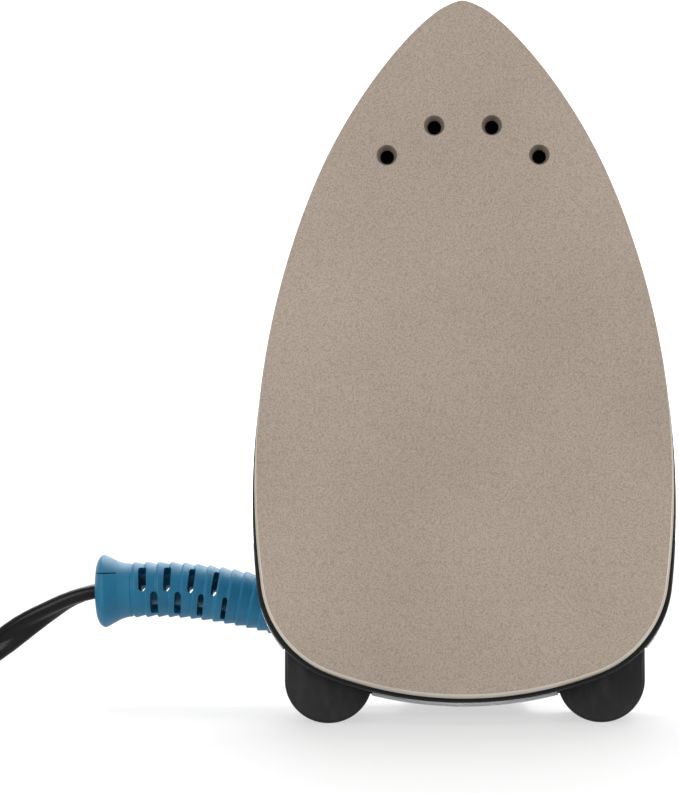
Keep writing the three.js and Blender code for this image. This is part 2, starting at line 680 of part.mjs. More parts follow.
function valveRod() {
  const { rod, z } = VALVE;
  return turned([
    [0, 13.4], [rod, 14.2], [rod, 50.4], [2.4, 50.4], [2.4, 51.6], [rod, 51.6], [rod, 83.4],
    [0, 84.2],
  ], 0, z, 12);
}

function fillDoor() {
  const { rear, hinge, halfRear, halfFront, thickness, barrel, pin } = DOOR;
  const axis = fillPoint(hinge, GAP + barrel);
  const corner = (x, z, lift) => fillPoint(z, GAP + lift).setX(x);
  const layer = (lift) => [
    corner(-halfRear, rear, lift), corner(halfRear, rear, lift),
    corner(halfFront - 0.5, hinge, lift), corner(-halfFront + 0.5, hinge, lift),
  ];
  const leaf = loft([layer(0), layer(thickness)]);
  const knuckle = cylinder(barrel, point(-halfFront, axis.y, axis.z), point(halfFront, axis.y, axis.z), 14);
  return cut(join(leaf, knuckle), doorPinHole(pin + GAP));
}

function fillDoorPin() {
  const axis = fillPoint(DOOR.hinge, GAP + DOOR.barrel);
  const reach = DOOR.halfFront + 2;
  return cylinder(DOOR.pin, point(-reach, axis.y, axis.z), point(reach, axis.y, axis.z), 10);
}

// A tube between the filling hole in the deck and the one in the tank's lid.
function fillSpout() {
  return turned([
    [4.2, 40.1], [5.6, 40.1], [5.6, 49.2], [4.2, 49.2], [4.2, 40.1],
  ], 0, FILL.z + 2, 16);
}

function lampLens() {
  return turned([[0, 95], [LAMP.radius, 95], [LAMP.radius, 99], [1.6, 100.4], [0, 100.7]], 0, LAMP.z, 16);
}

const lampBulb = () => turned([[0, 90], [1.8, 90], [1.8, 93.4], [0, 94.6]], 0, LAMP.z, 12);

// ---------------------------------------------------------------- wiring
const BLOCK = { x: 9, y0: 44.6, y1: 50, z0: 22, z1: 29 };

function terminalBlock() {
  const { x, y0, y1, z0, z1 } = BLOCK;
  const body = box(-x, x, y0, y1, z0, z1);
  const wells = [-6, 0, 6].map((side) => cylinder(1.7, point(side, y0 + 1.5, (z0 + z1) / 2),
    point(side, y1 + 1, (z0 + z1) / 2), 10));
  return intoIron(cut(body, ...wells));
}

const SUPPLY_WIRE = 0.9;

function supplyWire(side) {
  return intoIron(tube([
    point(side * 1.4, DRUM.y, 21.6), point(side * 1.4, DRUM.y, 28), point(side * 1.6, DRUM.y - 3, 30.6),
    point(side * 3, 68, 31), point(side * 5, 56, 30.6), point(side * 6, BLOCK.y1 + 2, 28.5),
    point(side * 6, BLOCK.y1 + 0.4, 25.6),
  ], SUPPLY_WIRE, { sides: 4, steps: 18 }));
}

function heaterWire(side) {
  return tube([
    point(side * 1.6, 42, WIRE_WAY.z), point(side * 1.6, 30, WIRE_WAY.z), point(side * 1.6, 17.5, WIRE_WAY.z),
    point(side * 2.6, 13, WIRE_WAY.z - 2), point(side * 9, 11.2, 24), point(side * 17.2, 12.6, 16.6),
  ], SUPPLY_WIRE, { sides: 4, steps: 18 });
}

// ---------------------------------------------------------------- swivel and cord guard
// The drum turns about an upright axis at the heel; guard and cord turn with it.
const SIDE_HOLE = 5.1;

// A turned piece on the upright axis at (x, y), from [radius, z] pairs.
function upright(profile, x, y, sides) {
  const geometry = new THREE.LatheGeometry(profile.map(([r, z]) => new THREE.Vector2(r, z)), sides);
  geometry.rotateX(Math.PI / 2).translate(x, y, 0);
  return outward(solid(geometry), geometry);
}

function swivelDrum() {
  const { radius, bottom, top, y } = DRUM;
  const drum = upright([
    [0, bottom - 2.5], [4, bottom - 2.5], [4, bottom], [radius - 0.8, bottom], [radius, bottom + 0.8],
    [radius, top - 0.8], [radius - 0.8, top], [5, top], [5, top + 3], [0, top + 3],
  ], 0, y, 28);
  const middle = (bottom + top) / 2;
  const wireBore = cylinder(2.8, point(0, y, middle), point(0, y, top + 5), 14);
  const sideBore = cylinder(SIDE_HOLE, point(-radius - 2, y, middle), point(3.6, y, middle), 18);
  return cut(drum, wireBore, sideBore);
}

const guardPath = new THREE.CatmullRomCurve3([
  point(-4.5, DRUM.y, 17), point(-17.5, DRUM.y, 17), point(-35, DRUM.y, 21.4), point(-55.6, DRUM.y, 27.4),
  point(-76.6, DRUM.y, 30.7), point(-99.4, DRUM.y, 30.5),
], false, 'centripetal');
const GUARD = {
  neck: 4.8, rib: 7.3, groove: 6.1, ribs: 15, ribStart: 0.15, ribEnd: 0.86, flare: 10, bore: 3.3,
};
const GUARD_SIDES = 10;                // flats round the guard

// The guard's radius along its path: neck, ribs, then the bell mouth.
function guardProfile() {
  const { neck, rib, groove, ribs, ribStart, ribEnd, flare } = GUARD;
  const profile = [[0, neck], [0.118, neck], [0.12, rib - 0.5], [0.126, rib]];
  const pitch = (ribEnd - ribStart) / ribs;
  for (let i = 0; i < ribs; i++) {
    const start = ribStart + i * pitch;
    profile.push([start, rib], [start + pitch * 0.3, groove], [start + pitch * 0.6, rib]);
  }
  profile.push([0.9, rib + 0.3], [0.945, rib + 1.2], [0.975, flare - 0.6], [0.99, flare], [1, flare - 0.5]);
  return profile;
}

function circleRing(path, fraction, radius, sides) {
  const centre = path.getPointAt(fraction);
  const along = path.getTangentAt(fraction);
  const across = point(0, 1, 0);
  const up = new THREE.Vector3().crossVectors(along, across).normalize();
  return Array.from({ length: sides }, (_, i) => {
    const angle = (i / sides) * Math.PI * 2;
    return centre.clone().addScaledVector(across, radius * Math.cos(angle))
      .addScaledVector(up, radius * Math.sin(angle));
  });
}

function cordGuard() {
  const outside = loft(guardProfile().map(([fraction, radius]) => (
    circleRing(guardPath, fraction, radius, GUARD_SIDES)
  )));
  const inside = tube([
    point(-2, DRUM.y, 17), ...guardPath.points.slice(1, -1), point(-102, DRUM.y, 30.5),
  ], GUARD.bore, { sides: 8, steps: 10 });
  return cut(outside, inside);
}

const cordClamp = () => box(-3.6, 2.8, DRUM.y - 2.6, DRUM.y + 2.6, 14.2, 20.6);

// ---------------------------------------------------------------- mains cord, coil and plug
const CORD_RADIUS = 3;
const COIL = { x: -196, y: 44, inner: 28.8, outer: 59.2, height: 8.4, lastTurn: 55.5, tailTurn: 45 };
const TAIL_Z = COIL.height + GAP + CORD_RADIUS;

function powerCord() {
  const route = [
    [-100.2, 0, 30.3], [-106, 0, 28.4], [-112, 0.1, 25.1], [-118.3, 0.4, 21.2], [-125, 1.2, 16.3],
    [-131.5, 2.8, 11.4], [-139, 5.8, 6.8], [-148, 10.6, 4], [-157, 15.4, 3.1], [-165, 18.9, CORD_RADIUS],
  ];
  const points = route.map(([x, behind, z]) => point(x, DRUM.y + behind, z));
  return tube(points, CORD_RADIUS, { sides: 10, steps: 11 });
}

function cordCoil() {
  const { x, y, inner, outer, height } = COIL;
  return upright([
    [inner + 1, 0], [outer - 1, 0], [outer, 1], [outer, height - 1], [outer - 1, height],
    [inner + 1, height], [inner, height - 1], [inner, 1], [inner + 1, 0],
  ], x, y, 32);
}

const PLUG = { rear: -174, front: -150, halfWidth: 10, z0: COIL.height + GAP, z1: COIL.height + 11.1 };
const PLUG_Y = COIL.y - COIL.tailTurn;
const PLUG_Z = (PLUG.z0 + PLUG.z1) / 2;
const RELIEF = { rear: PLUG.rear - 8, rearRadius: 3.4, frontRadius: 4.6 };

// The last half turn lies on top of the coil and leads straight into the plug.
function cordTail() {
  const points = [];
  const arcSteps = 12;
  for (let i = 0; i <= arcSteps; i++) {
    const share = i / arcSteps;
    const angle = Math.PI * (0.53 + 0.97 * share);
    const radius = THREE.MathUtils.lerp(COIL.lastTurn, COIL.tailTurn, share);
    points.push(point(COIL.x + radius * Math.cos(angle), COIL.y + radius * Math.sin(angle), TAIL_Z));
  }
  points.push(point((COIL.x + RELIEF.rear) / 2, PLUG_Y, (TAIL_Z + PLUG_Z) / 2));
  points.push(point(RELIEF.rear - 1, PLUG_Y, PLUG_Z));
  return tube(points, CORD_RADIUS, { sides: 10, steps: 24 });
}

const TIE = { width: 8, strap: 1.3, angle: THREE.MathUtils.degToRad(-20) };

function coilTie() {
  const { x, y, inner, outer, height } = COIL;
  const reach = TIE.strap + GAP;
  const block = new THREE.BoxGeometry(outer - inner + 2 * reach, TIE.width, height + reach);
  block.translate((outer + inner) / 2, 0, (height + reach) / 2).rotateZ(TIE.angle).translate(x, y, 0);
  const room = upright([
    [inner - GAP, -1], [outer + GAP, -1], [outer + GAP, height + GAP], [inner - GAP, height + GAP],
    [inner - GAP, -1],
  ], x, y, 32);
  return cut(solid(block), room);
}

const BLADE = { length: 16.5, root: 6, thickness: 1.5, height: 6.35, spacing: 12.7 };

function plugBlade(side, growth = 0) {
  const y = PLUG_Y + (side * BLADE.spacing) / 2;
  return box(PLUG.front - BLADE.root - growth, PLUG.front + BLADE.length,
    y - BLADE.thickness / 2 - growth, y + BLADE.thickness / 2 + growth,
    PLUG_Z - BLADE.height / 2 - growth, PLUG_Z + BLADE.height / 2 + growth);
}

function plugBody() {
  const { rear, front, halfWidth, z0, z1 } = PLUG;
  const section = (x, shrink) => [
    [-1, -0.6], [-0.6, -1], [0.6, -1], [1, -0.6], [1, 0.6], [0.6, 1], [-0.6, 1], [-1, 0.6],
  ].map(([across, up]) => point(x, PLUG_Y + across * (halfWidth - shrink),
    PLUG_Z + up * ((z1 - z0) / 2 - shrink * 0.5)));
  const body = loft([
    section(rear, 4), section(rear + 5, 1.2), section(rear + 10, 0), section(front - 1, 0), section(front, 1),
  ]);
  const relief = cylinder(RELIEF.rearRadius, point(RELIEF.rear, PLUG_Y, PLUG_Z),
    point(rear + 3, PLUG_Y, PLUG_Z), 12, RELIEF.frontRadius);
  return cut(join(body, relief), plugBlade(-1, GAP), plugBlade(1, GAP));
}

// ---------------------------------------------------------------- assembly
const COLOURS = {
  sole: [0xa3968a, 0.4, 0.55], steel: [0xa9abad, 0.35, 0.9], ceramic: [0xe6e2d8, 0.6, 0],
  black: [0x101012, 0.18, 0], housing: [0x1c1d20, 0.3, 0], lobe: [0x2b2a2d, 0.6, 0],
  clear: [0xc7d2d6, 0.08, 0], blue: [0x3a7fa3, 0.5, 0], white: [0xdedcd6, 0.5, 0],
  silicone: [0xb4512f, 0.7, 0], cord: [0x111113, 0.5, 0], amber: [0xd46a1c, 0.2, 0],
  brass: [0xb08a44, 0.35, 0.9], liveWire: [0x1a1a1a, 0.5, 0], neutralWire: [0xd8d8d6, 0.5, 0],
};

const object = new THREE.Group();
object.position.y = -CENTRE_Y;
const standing = new THREE.Group();
const iron = new THREE.Group();
iron.rotation.x = -LEAN;
iron.position.z = HEEL_LIFT;
object.add(standing, iron);

function place(group, name, shape, [color, roughness, metalness]) {
  const material = new THREE.MeshStandardMaterial({ color, roughness, metalness });
  const mesh = new THREE.Mesh(geometryOf(shape), material);
  mesh.name = name;
  group.add(mesh);
}

const C = COLOURS;
const SIDES = [['left', -1], ['right', 1]];
place(iron, 'soleplate', soleplate(), C.sole);
place(iron, 'heating_element', heatingElement(), C.steel);
place(iron, 'chamber_seal', chamberSeal(), C.silicone);
place(iron, 'chamber_cover', chamberCover(), C.steel);
COVER_SCREWS.forEach(([x, z], i) => {
  place(iron, `cover_screw_${i + 1}`, screw(x, CHAMBER_TOP + GAP, z, 4.5), C.steel);
});
place(iron, 'thermostat_base', thermostatBase(), C.ceramic);
place(iron, 'thermostat_stem', thermostatStem(), C.brass);
place(iron, 'thermal_fuse', thermalFuse(), C.brass);
place(iron, 'skirt', skirt(), C.black);
place(iron, 'water_tank', waterTank(), C.clear);
place(iron, 'tank_lid', tankLid(), C.clear);
place(iron, 'valve_seat', valveSeat(), C.silicone);
place(iron, 'valve_rod', valveRod(), C.steel);
place(iron, 'valve_spring', spring(VALVE.z, 40.2, 50.1, 2.4, 4, 0.4), C.steel);
place(iron, 'heel_cover', heelCover(), C.lobe);
place(iron, 'body_shell', bodyShell(), C.housing);
place(iron, 'handle_housing', handleHousing(), C.housing);
place(iron, 'handle_grip', handleGrip(), C.lobe);
place(iron, 'temperature_dial', temperatureDial(), C.blue);
place(iron, 'dial_bezel', dialBezel(), C.white);
place(iron, 'steam_selector', steamSelector(), C.blue);
place(iron, 'burst_button', burstButton(), C.blue);
place(iron, 'pump_plunger', pumpPlunger(), C.white);
place(iron, 'pump_body', pumpBody(), C.white);
place(iron, 'pump_spring', spring(BURST.z, 88.4, 93.9, 3.6, 2.5, 0.4), C.steel);
place(iron, 'pump_intake_tube', pumpTube(-1, 20), C.silicone);
place(iron, 'pump_outlet_tube', pumpTube(1, 12.9), C.silicone);
place(iron, 'fill_door', fillDoor(), C.blue);
place(iron, 'fill_door_pin', fillDoorPin(), C.steel);
place(iron, 'fill_spout', fillSpout(), C.clear);
place(iron, 'lamp_lens', lampLens(), C.amber);
place(iron, 'lamp_bulb', lampBulb(), C.amber);
place(iron, 'terminal_block', terminalBlock(), C.ceramic);
place(iron, 'live_wire', supplyWire(-1), C.liveWire);
place(iron, 'neutral_wire', supplyWire(1), C.neutralWire);
SIDES.forEach(([name, side]) => place(iron, `heater_wire_${name}`, heaterWire(side), C.neutralWire));
HEEL_SCREWS.forEach((x, i) => place(iron, `heel_screw_${i + 1}`, heelScrew(x), C.steel));
place(standing, 'swivel_drum', swivelDrum(), C.housing);
place(standing, 'cord_guard', cordGuard(), C.blue);
place(standing, 'cord_clamp', cordClamp(), C.white);
place(standing, 'power_cord', powerCord(), C.cord);
place(standing, 'cord_coil', cordCoil(), C.cord);
place(standing, 'cord_tail', cordTail(), C.cord);
place(standing, 'coil_tie', coilTie(), C.cord);
place(standing, 'plug_body', plugBody(), C.cord);
SIDES.forEach(([name, side]) => place(standing, `plug_blade_${name}`, plugBlade(side), C.brass));

export default object;
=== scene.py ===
"""A compact travel steam iron, standing on its heel: the looks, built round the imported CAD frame.

Sizes are in millimetres, as in the part's own source, and turn into metres when a mesh is made.
The iron's own frame leans back when it stands: x across, y up from the sole's face, z to the nose.
"""
import json
from math import atan2, copysign, cos, exp, hypot, pi, radians, sin, sqrt, tan
from types import SimpleNamespace as Sizes

import bmesh
import bpy
import numpy as np
from mathutils import Matrix, Vector


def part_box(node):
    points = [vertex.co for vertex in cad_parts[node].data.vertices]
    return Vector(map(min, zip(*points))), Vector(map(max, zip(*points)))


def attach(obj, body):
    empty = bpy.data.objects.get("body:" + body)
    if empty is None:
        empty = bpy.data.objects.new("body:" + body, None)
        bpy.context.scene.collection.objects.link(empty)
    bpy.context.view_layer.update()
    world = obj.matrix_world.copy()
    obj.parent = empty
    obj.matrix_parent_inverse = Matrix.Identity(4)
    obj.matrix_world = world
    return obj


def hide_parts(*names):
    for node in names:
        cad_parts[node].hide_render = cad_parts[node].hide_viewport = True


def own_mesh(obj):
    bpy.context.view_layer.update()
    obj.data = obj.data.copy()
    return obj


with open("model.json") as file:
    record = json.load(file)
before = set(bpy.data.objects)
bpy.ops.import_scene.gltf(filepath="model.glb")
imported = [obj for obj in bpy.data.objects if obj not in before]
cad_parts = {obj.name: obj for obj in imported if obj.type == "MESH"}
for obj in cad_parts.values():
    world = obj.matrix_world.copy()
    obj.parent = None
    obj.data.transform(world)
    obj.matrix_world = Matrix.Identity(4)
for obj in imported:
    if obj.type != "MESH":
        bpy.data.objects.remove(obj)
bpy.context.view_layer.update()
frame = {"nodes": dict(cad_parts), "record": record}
NODES = frame["nodes"]

# ---- driving sizes, from the frame
MM = 0.001
MOUNTS = {m["name"]: m for m in frame["record"]["mounts"]}
SOLE_AXIS = Vector(MOUNTS["sole_face"]["axis"])
LEAN = atan2(SOLE_AXIS.z, -SOLE_AXIS.y)
HEEL_LIFT = 7.6
DRUM_LOW, DRUM_HIGH = (Vector(corner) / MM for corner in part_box("swivel_drum"))
DRUM = Sizes(y=80.0, radius=15.5, bottom=10.0, top=24.0, rounding=0.8)
CENTRE_Y = DRUM.y - (DRUM_LOW.y + DRUM_HIGH.y) / 2

STANDING = Matrix.Diagonal((MM, MM, MM, 1)) @ Matrix.Translation((0, -CENTRE_Y, 0))
IRON = STANDING @ Matrix.Translation((0, 0, HEEL_LIFT)) @ Matrix.Rotation(-LEAN, 4, "X")

SOLE = Sizes(length=177.2, half_width=52.6, widest_z=54.0)
ARC_RADII = Sizes(rear=95.0, corner=27.0, side=200.0, shoulder=135.0, nose=11.6)
LOBE = Sizes(x=34.5, radius=11.1, flat=0.35, side=19.5, front=15.5, back=52.0,
             rounding=0.9)
VENTS = [(-19.3, 137.1), (-7.3, 144.7), (7.3, 144.7), (19.3, 137.1)]


# ---- mesh helpers
SPAN_STEPS = 16                       # points of a smooth path in each span


def add_to_scene(obj):
    bpy.context.scene.collection.objects.link(obj)
    return obj


def new_object(name, vertices, faces, matrix=IRON):
    """A mesh object from points in millimetres, laid into the row frame."""
    mesh = bpy.data.meshes.new(name)
    mesh.from_pydata([tuple(matrix @ Vector(v)) for v in vertices], [], faces)
    mesh.update()
    return add_to_scene(bpy.data.objects.new(name, mesh))


def outward(obj):
    """Turns a closed mesh's faces outward."""
    bm = bmesh.new()
    bm.from_mesh(obj.data)
    bmesh.ops.recalc_face_normals(bm, faces=bm.faces)
    bm.to_mesh(obj.data)
    bm.free()
    return obj


def loft(name, rings, matrix=IRON, closed_path=False):
    """Rings of equal length joined in order; the ends are closed by flat caps."""
    count = len(rings[0])
    vertices = [p for ring in rings for p in ring]
    faces = []
    rows = len(rings)
    for row in range(rows if closed_path else rows - 1):
        a, b = row * count, ((row + 1) % rows) * count
        for i in range(count):
            j = (i + 1) % count
            faces.append((a + i, a + j, b + j, b + i))
    if not closed_path:
        faces.append(tuple(range(count)))
        faces.append(tuple(range((rows - 1) * count, rows * count)))
    return outward(new_object(name, vertices, faces, matrix))


def shade(obj, angle=35):
    """Smooth shading that keeps flat faces flat and edges sharper than the angle."""
    obj.data.polygons.foreach_set("use_smooth", [True] * len(obj.data.polygons))
    obj.data.set_sharp_from_angle(angle=radians(angle))
    modifier = obj.modifiers.new("weighted normals", "WEIGHTED_NORMAL")
    modifier.keep_sharp = True
    return obj


def applied(obj):
    """The object's mesh with its modifiers applied."""
    depsgraph = bpy.context.evaluated_depsgraph_get()
    mesh = bpy.data.meshes.new_from_object(obj.evaluated_get(depsgraph))
    obj.modifiers.clear()
    obj.data = mesh
    return obj


def boolean(obj, tools, operation="DIFFERENCE"):
    """Cuts obj by closed tools, or joins or intersects it with them; the tools are used up."""
    for tool in tools:
        modifier = obj.modifiers.new("boolean", "BOOLEAN")
        modifier.operation = operation
        modifier.solver = "MANIFOLD"
        modifier.object = tool
    applied(obj)
    for tool in tools:
        bpy.data.objects.remove(tool)
    return obj


def block(x0, x1, y0, y1, z0, z1, matrix=IRON):
    corners = [(x, y, z) for x in (x0, x1) for y in (y0, y1) for z in (z0, z1)]
    faces = [(0, 1, 3, 2), (4, 6, 7, 5), (0, 4, 5, 1), (2, 3, 7, 6), (0, 2, 6, 4), (1, 5, 7, 3)]
    return outward(new_object("tool", corners, faces, matrix))


def full_turn(count):
    """The angles of that many equal steps round a circle."""
    return [2 * pi * i / count for i in range(count)]


def quarter_turn(steps):
    """The angles from nothing to a quarter turn, in that many equal steps."""
    return [pi / 2 * i / steps for i in range(steps + 1)]


def circle(centre, across, up, radius, count):
    return [centre + across * (radius * cos(t)) + up * (radius * sin(t))
            for t in full_turn(count)]


def squarish(half, half_height, power, sides):
    """(across, height) points round a section whose corners are squarer for a smaller power."""
    points = []
    for turn in full_turn(sides):
        across = copysign(abs(cos(turn)) ** power, cos(turn))
        height = copysign(abs(sin(turn)) ** power, sin(turn))
        points.append((half * across, half_height * height))
    return points


def turned(name, profile, base, axis, matrix=IRON, count=64, hollow=False):
    """A piece turned round an axis: (radius, height) pairs from its base, which close on themselves
    if it is hollow, and end in flat caps if it isn't."""
    axis = Vector(axis).normalized()
    across = axis.orthogonal().normalized()
    up = axis.cross(across)
    rings = [circle(Vector(base) + axis * h, across, up, r, count) for r, h in profile]
    return loft(name, rings, matrix, closed_path=hollow)


def with_ends(points):
    """The points as vectors, with one more past each end."""
    pts = [Vector(p) for p in points]
    return [2 * pts[0] - pts[1]] + pts + [2 * pts[-1] - pts[-2]]


def between(p0, p1, p2, p3, share):
    """A point from p1 to p2 on the centripetal Catmull-Rom curve through all four."""
    knots = [0.0]
    for a, b in ((p0, p1), (p1, p2), (p2, p3)):
        knots.append(knots[-1] + max((b - a).length, 1e-6) ** 0.5)
    t0, t1, t2, t3 = knots
    t = t1 + (t2 - t1) * share
    a1 = p0 * ((t1 - t) / (t1 - t0)) + p1 * ((t - t0) / (t1 - t0))
    a2 = p1 * ((t2 - t) / (t2 - t1)) + p2 * ((t - t1) / (t2 - t1))
    a3 = p2 * ((t3 - t) / (t3 - t2)) + p3 * ((t - t2) / (t3 - t2))
    b1 = a1 * ((t2 - t) / (t2 - t0)) + a2 * ((t - t0) / (t2 - t0))
    b2 = a2 * ((t3 - t) / (t3 - t1)) + a3 * ((t - t1) / (t3 - t1))
    return b1 * ((t2 - t) / (t2 - t1)) + b2 * ((t - t1) / (t2 - t1))


def smooth_path(points, samples):
    """Points at equal steps along a smooth curve through the points given."""
    pts = with_ends(points)
    dense = []
    for four in zip(pts, pts[1:], pts[2:], pts[3:]):
        dense += [between(*four, step / SPAN_STEPS) for step in range(SPAN_STEPS)]
    dense.append(pts[-2].copy())
    return resample(dense, samples)


def curve_point(points, fraction):
    """A point on the same curve, at a share of its spans."""
    pts = with_ends(points)
    place = min(max(fraction, 0), 1) * (len(points) - 1)
    span = min(int(place), len(points) - 2)
    return between(*pts[span:span + 4], place - span)


def direction(path, i):
    """The way the path runs at its point i."""
    return (path[min(i + 1, len(path) - 1)] - path[max(i - 1, 0)]).normalized()


def resample(dense, samples):
    """The same curve as that many points at equal distances."""
    lengths = [0.0]
    for a, b in zip(dense, dense[1:]):
        lengths.append(lengths[-1] + (b - a).length)
    targets = np.linspace(0, lengths[-1], samples)
    columns = np.array([tuple(p) for p in dense]).T
    return [Vector(v) for v in np.stack([np.interp(targets, lengths, column) for column in columns], 1)]


def path_length(path):
    return sum((b - a).length for a, b in zip(path, path[1:]))


# ---- the sole's outline
def touching(a, b, radius):
    """The circle of that radius that touches circles a and b from the inside, on the right."""
    reach_a, reach_b = abs(a[1] - radius), abs(b[1] - radius)
    gap = b[0] - a[0]
    distance = gap.length
    along = (reach_a ** 2 - reach_b ** 2 + distance ** 2) / (2 * distance)
    across = sqrt(reach_a ** 2 - along ** 2)
    unit = gap / distance
    side = Vector((-unit.y, unit.x)) * across
    foot = a[0] + unit * along
    return max((foot + side, foot - side), key=lambda p: p.x), radius


def outline_arcs():
    """The outline's right half, as (centre, radius, start angle, end angle) from the rear up."""
    r = ARC_RADII
    rear = (Vector((0, r.rear)), r.rear)
    side = (Vector((SOLE.half_width - r.side, SOLE.widest_z)), r.side)
    nose = (Vector((0, SOLE.length - r.nose)), r.nose)
    corner = touching(side, rear, r.corner)
    shoulder = touching(side, nose, r.shoulder)
    meets = [-pi / 2]
    for big, small in ((rear, corner), (side, corner), (side, shoulder), (shoulder, nose)):
        gap = small[0] - big[0]
        meets.append(atan2(gap.y, gap.x))
    meets.append(pi / 2)
    circles = (rear, corner, side, shoulder, nose)
    return [(*circles[i], meets[i], meets[i + 1]) for i in range(len(circles))]


ARCS = outline_arcs()
OUTLINE_STEP = radians(2.0)
TIP = Sizes(squeeze=0.45, reach=2.4)


def tip_share(z):
    """How much of its width the outline keeps at z: the nose's very tip is slightly pointed."""
    return 1 - TIP.squeeze * exp(-(SOLE.length - z) / TIP.reach)


def outline(offset=0.0, step=OUTLINE_STEP):
    """The outline as (x, z) points, pushed outward by a distance or by a function of z."""
    push = offset if callable(offset) else (lambda z: offset)
    right = []
    for index, (centre, radius, start, end) in enumerate(ARCS):
        steps = max(3, round((end - start) / step * (1 + radius / 60)))
        for i in range(steps + (index == len(ARCS) - 1)):
            angle = start + (end - start) * i / steps
            out = Vector((cos(angle), sin(angle)))
            rim = centre + out * radius
            edge = rim + out * push(rim.y)
            right.append(Vector((edge.x * tip_share(rim.y), edge.y)))
    left = [Vector((-p.x, p.y)) for p in reversed(right[1:-1])]
    return right + left


def stack(name, levels, step=OUTLINE_STEP):
    """A body with the sole's outline; levels lists (height, offset) from the sole up."""
    return loft(name, [[Vector((p.x, y, p.y)) for p in outline(off, step)] for y, off in levels])


def edge_along(stops):
    """How far an edge stands proud of the outline, by (z, distance) stops joined smoothly."""
    curve = smooth_path([(z, distance, 0) for z, distance in stops], 120)
    places = [p.x for p in curve]
    distances = [p.y for p in curve]
    return lambda z: float(np.interp(z, places, distances))


def inset(edge, distance):
    return lambda z: edge(z) - distance


def rounded(y0, y1, edge, top, bottom, draft=0.0):
    """Levels of a wall from y0 to y1, drawn in by the draft, its edges rounded by those radii."""
    corner = quarter_turn(5)
    back = inset(edge, draft)
    levels = [(y0 + bottom * (1 - sin(t)), inset(edge, bottom * (1 - cos(t))))
              for t in corner[::-1]]
    return levels + [(y1 - top * (1 - sin(t)), inset(back, top * (1 - cos(t))))
                     for t in corner]


# ---- materials
def shader(name):
    """A new material and its shader node."""
    mat = bpy.data.materials.new(name)
    mat.use_nodes = True
    return mat, mat.node_tree, mat.node_tree.nodes["Principled BSDF"]


def feed(tree, node, inputs):
    """Sets a node's inputs, each to a number or a colour, or to what another node puts out."""
    for socket, value in inputs.items():
        if isinstance(value, bpy.types.NodeSocket):
            tree.links.new(value, node.inputs[socket])
        else:
            node.inputs[socket].default_value = value


def made(tree, kind, inputs, output):
    """What a new node of that kind puts out, from those inputs."""
    node = tree.nodes.new("ShaderNode" + kind)
    feed(tree, node, inputs)
    return node.outputs[output]


def noise(tree, scale, detail=3.0, stretch=None):
    """Noise in the piece's own space; the scale is in waves to a metre."""
    place = made(tree, "TexCoord", {}, "Object")
    if stretch:
        place = made(tree, "Mapping", {"Vector": place, "Scale": stretch}, "Vector")
    return made(tree, "TexNoise", {"Vector": place, "Scale": scale, "Detail": detail}, "Fac")


def ramp(tree, value, low, high, start=0.35, end=0.65):
    """Two colours, mixed by a value between start and end."""
    node = tree.nodes.new("ShaderNodeValToRGB")
    for element, position, colour in zip(node.color_ramp.elements, (start, end), (low, high)):
        element.position = position
        element.color = (*colour, 1)
    feed(tree, node, {"Fac": value})
    return node.outputs["Color"]


def spread(tree, value, low, high):
    """A number between low and high, by a value from 0 to 1."""
    limits = {"From Min": 0.3, "From Max": 0.7, "To Min": low, "To Max": high}
    return made(tree, "MapRange", {"Value": value, **limits}, "Result")


def mixed(tree, factor, first, second, blend="MIX"):
    """The second colour over the first, by a factor."""
    node = tree.nodes.new("ShaderNodeMix")
    node.data_type = "RGBA"
    node.blend_type = blend
    feed(tree, node, {"Factor": factor, "A": first, "B": second})
    return node.outputs["Result"]


def surface(tree, bsdf, colour, roughness, height, depth):
    """Links a surface's colour and roughness, and its bump from a height, that deep in millimetres."""
    bump = made(tree, "Bump", {"Height": height, "Distance": depth * MM, "Strength": 1.0}, "Normal")
    feed(tree, bsdf, {"Base Color": colour, "Roughness": roughness, "Normal": bump})


def moulded(name, dark, light, roughness, patches, grain, depth, sockets):
    """A moulding: cloudy colour, uneven gloss and a fine grain, and what else it sets."""
    mat, tree, bsdf = shader(name)
    cloud = ramp(tree, noise(tree, patches, 2.0), dark, light)
    gloss = spread(tree, noise(tree, patches * 2.3), *roughness)
    surface(tree, bsdf, cloud, gloss, noise(tree, grain), depth)
    feed(tree, bsdf, sockets)
    return mat


def sole_coating():
    """The speckled coating of the sole: fine light and dark flecks in a taupe ground."""
    mat, tree, bsdf = shader("sole_coating")
    ground = ramp(tree, noise(tree, 18, 2.0), (0.295, 0.24, 0.193), (0.32, 0.262, 0.211))
    flecks = noise(tree, 2600, 2.0)
    shades = ramp(tree, flecks, (0.73, 0.73, 0.73), (1, 1, 1), 0.38, 0.56)
    colour = mixed(tree, 1.0, ground, shades, "MULTIPLY")
    surface(tree, bsdf, colour, spread(tree, noise(tree, 35), 0.42, 0.5), flecks, 0.02)
    feed(tree, bsdf, {"Metallic": 0.25})
    return mat


def clear_plastic():
    """The tank's clear moulding, slightly misted."""
    mat, tree, bsdf = shader("tank_clear")
    cloud = ramp(tree, noise(tree, 25), (0.92, 0.94, 0.95), (0.96, 0.97, 0.98))
    surface(tree, bsdf, cloud, spread(tree, noise(tree, 60), 0.06, 0.12), noise(tree, 500), 0.004)
    feed(tree, bsdf, {"Transmission Weight": 0.72, "IOR": 1.49})
    return mat


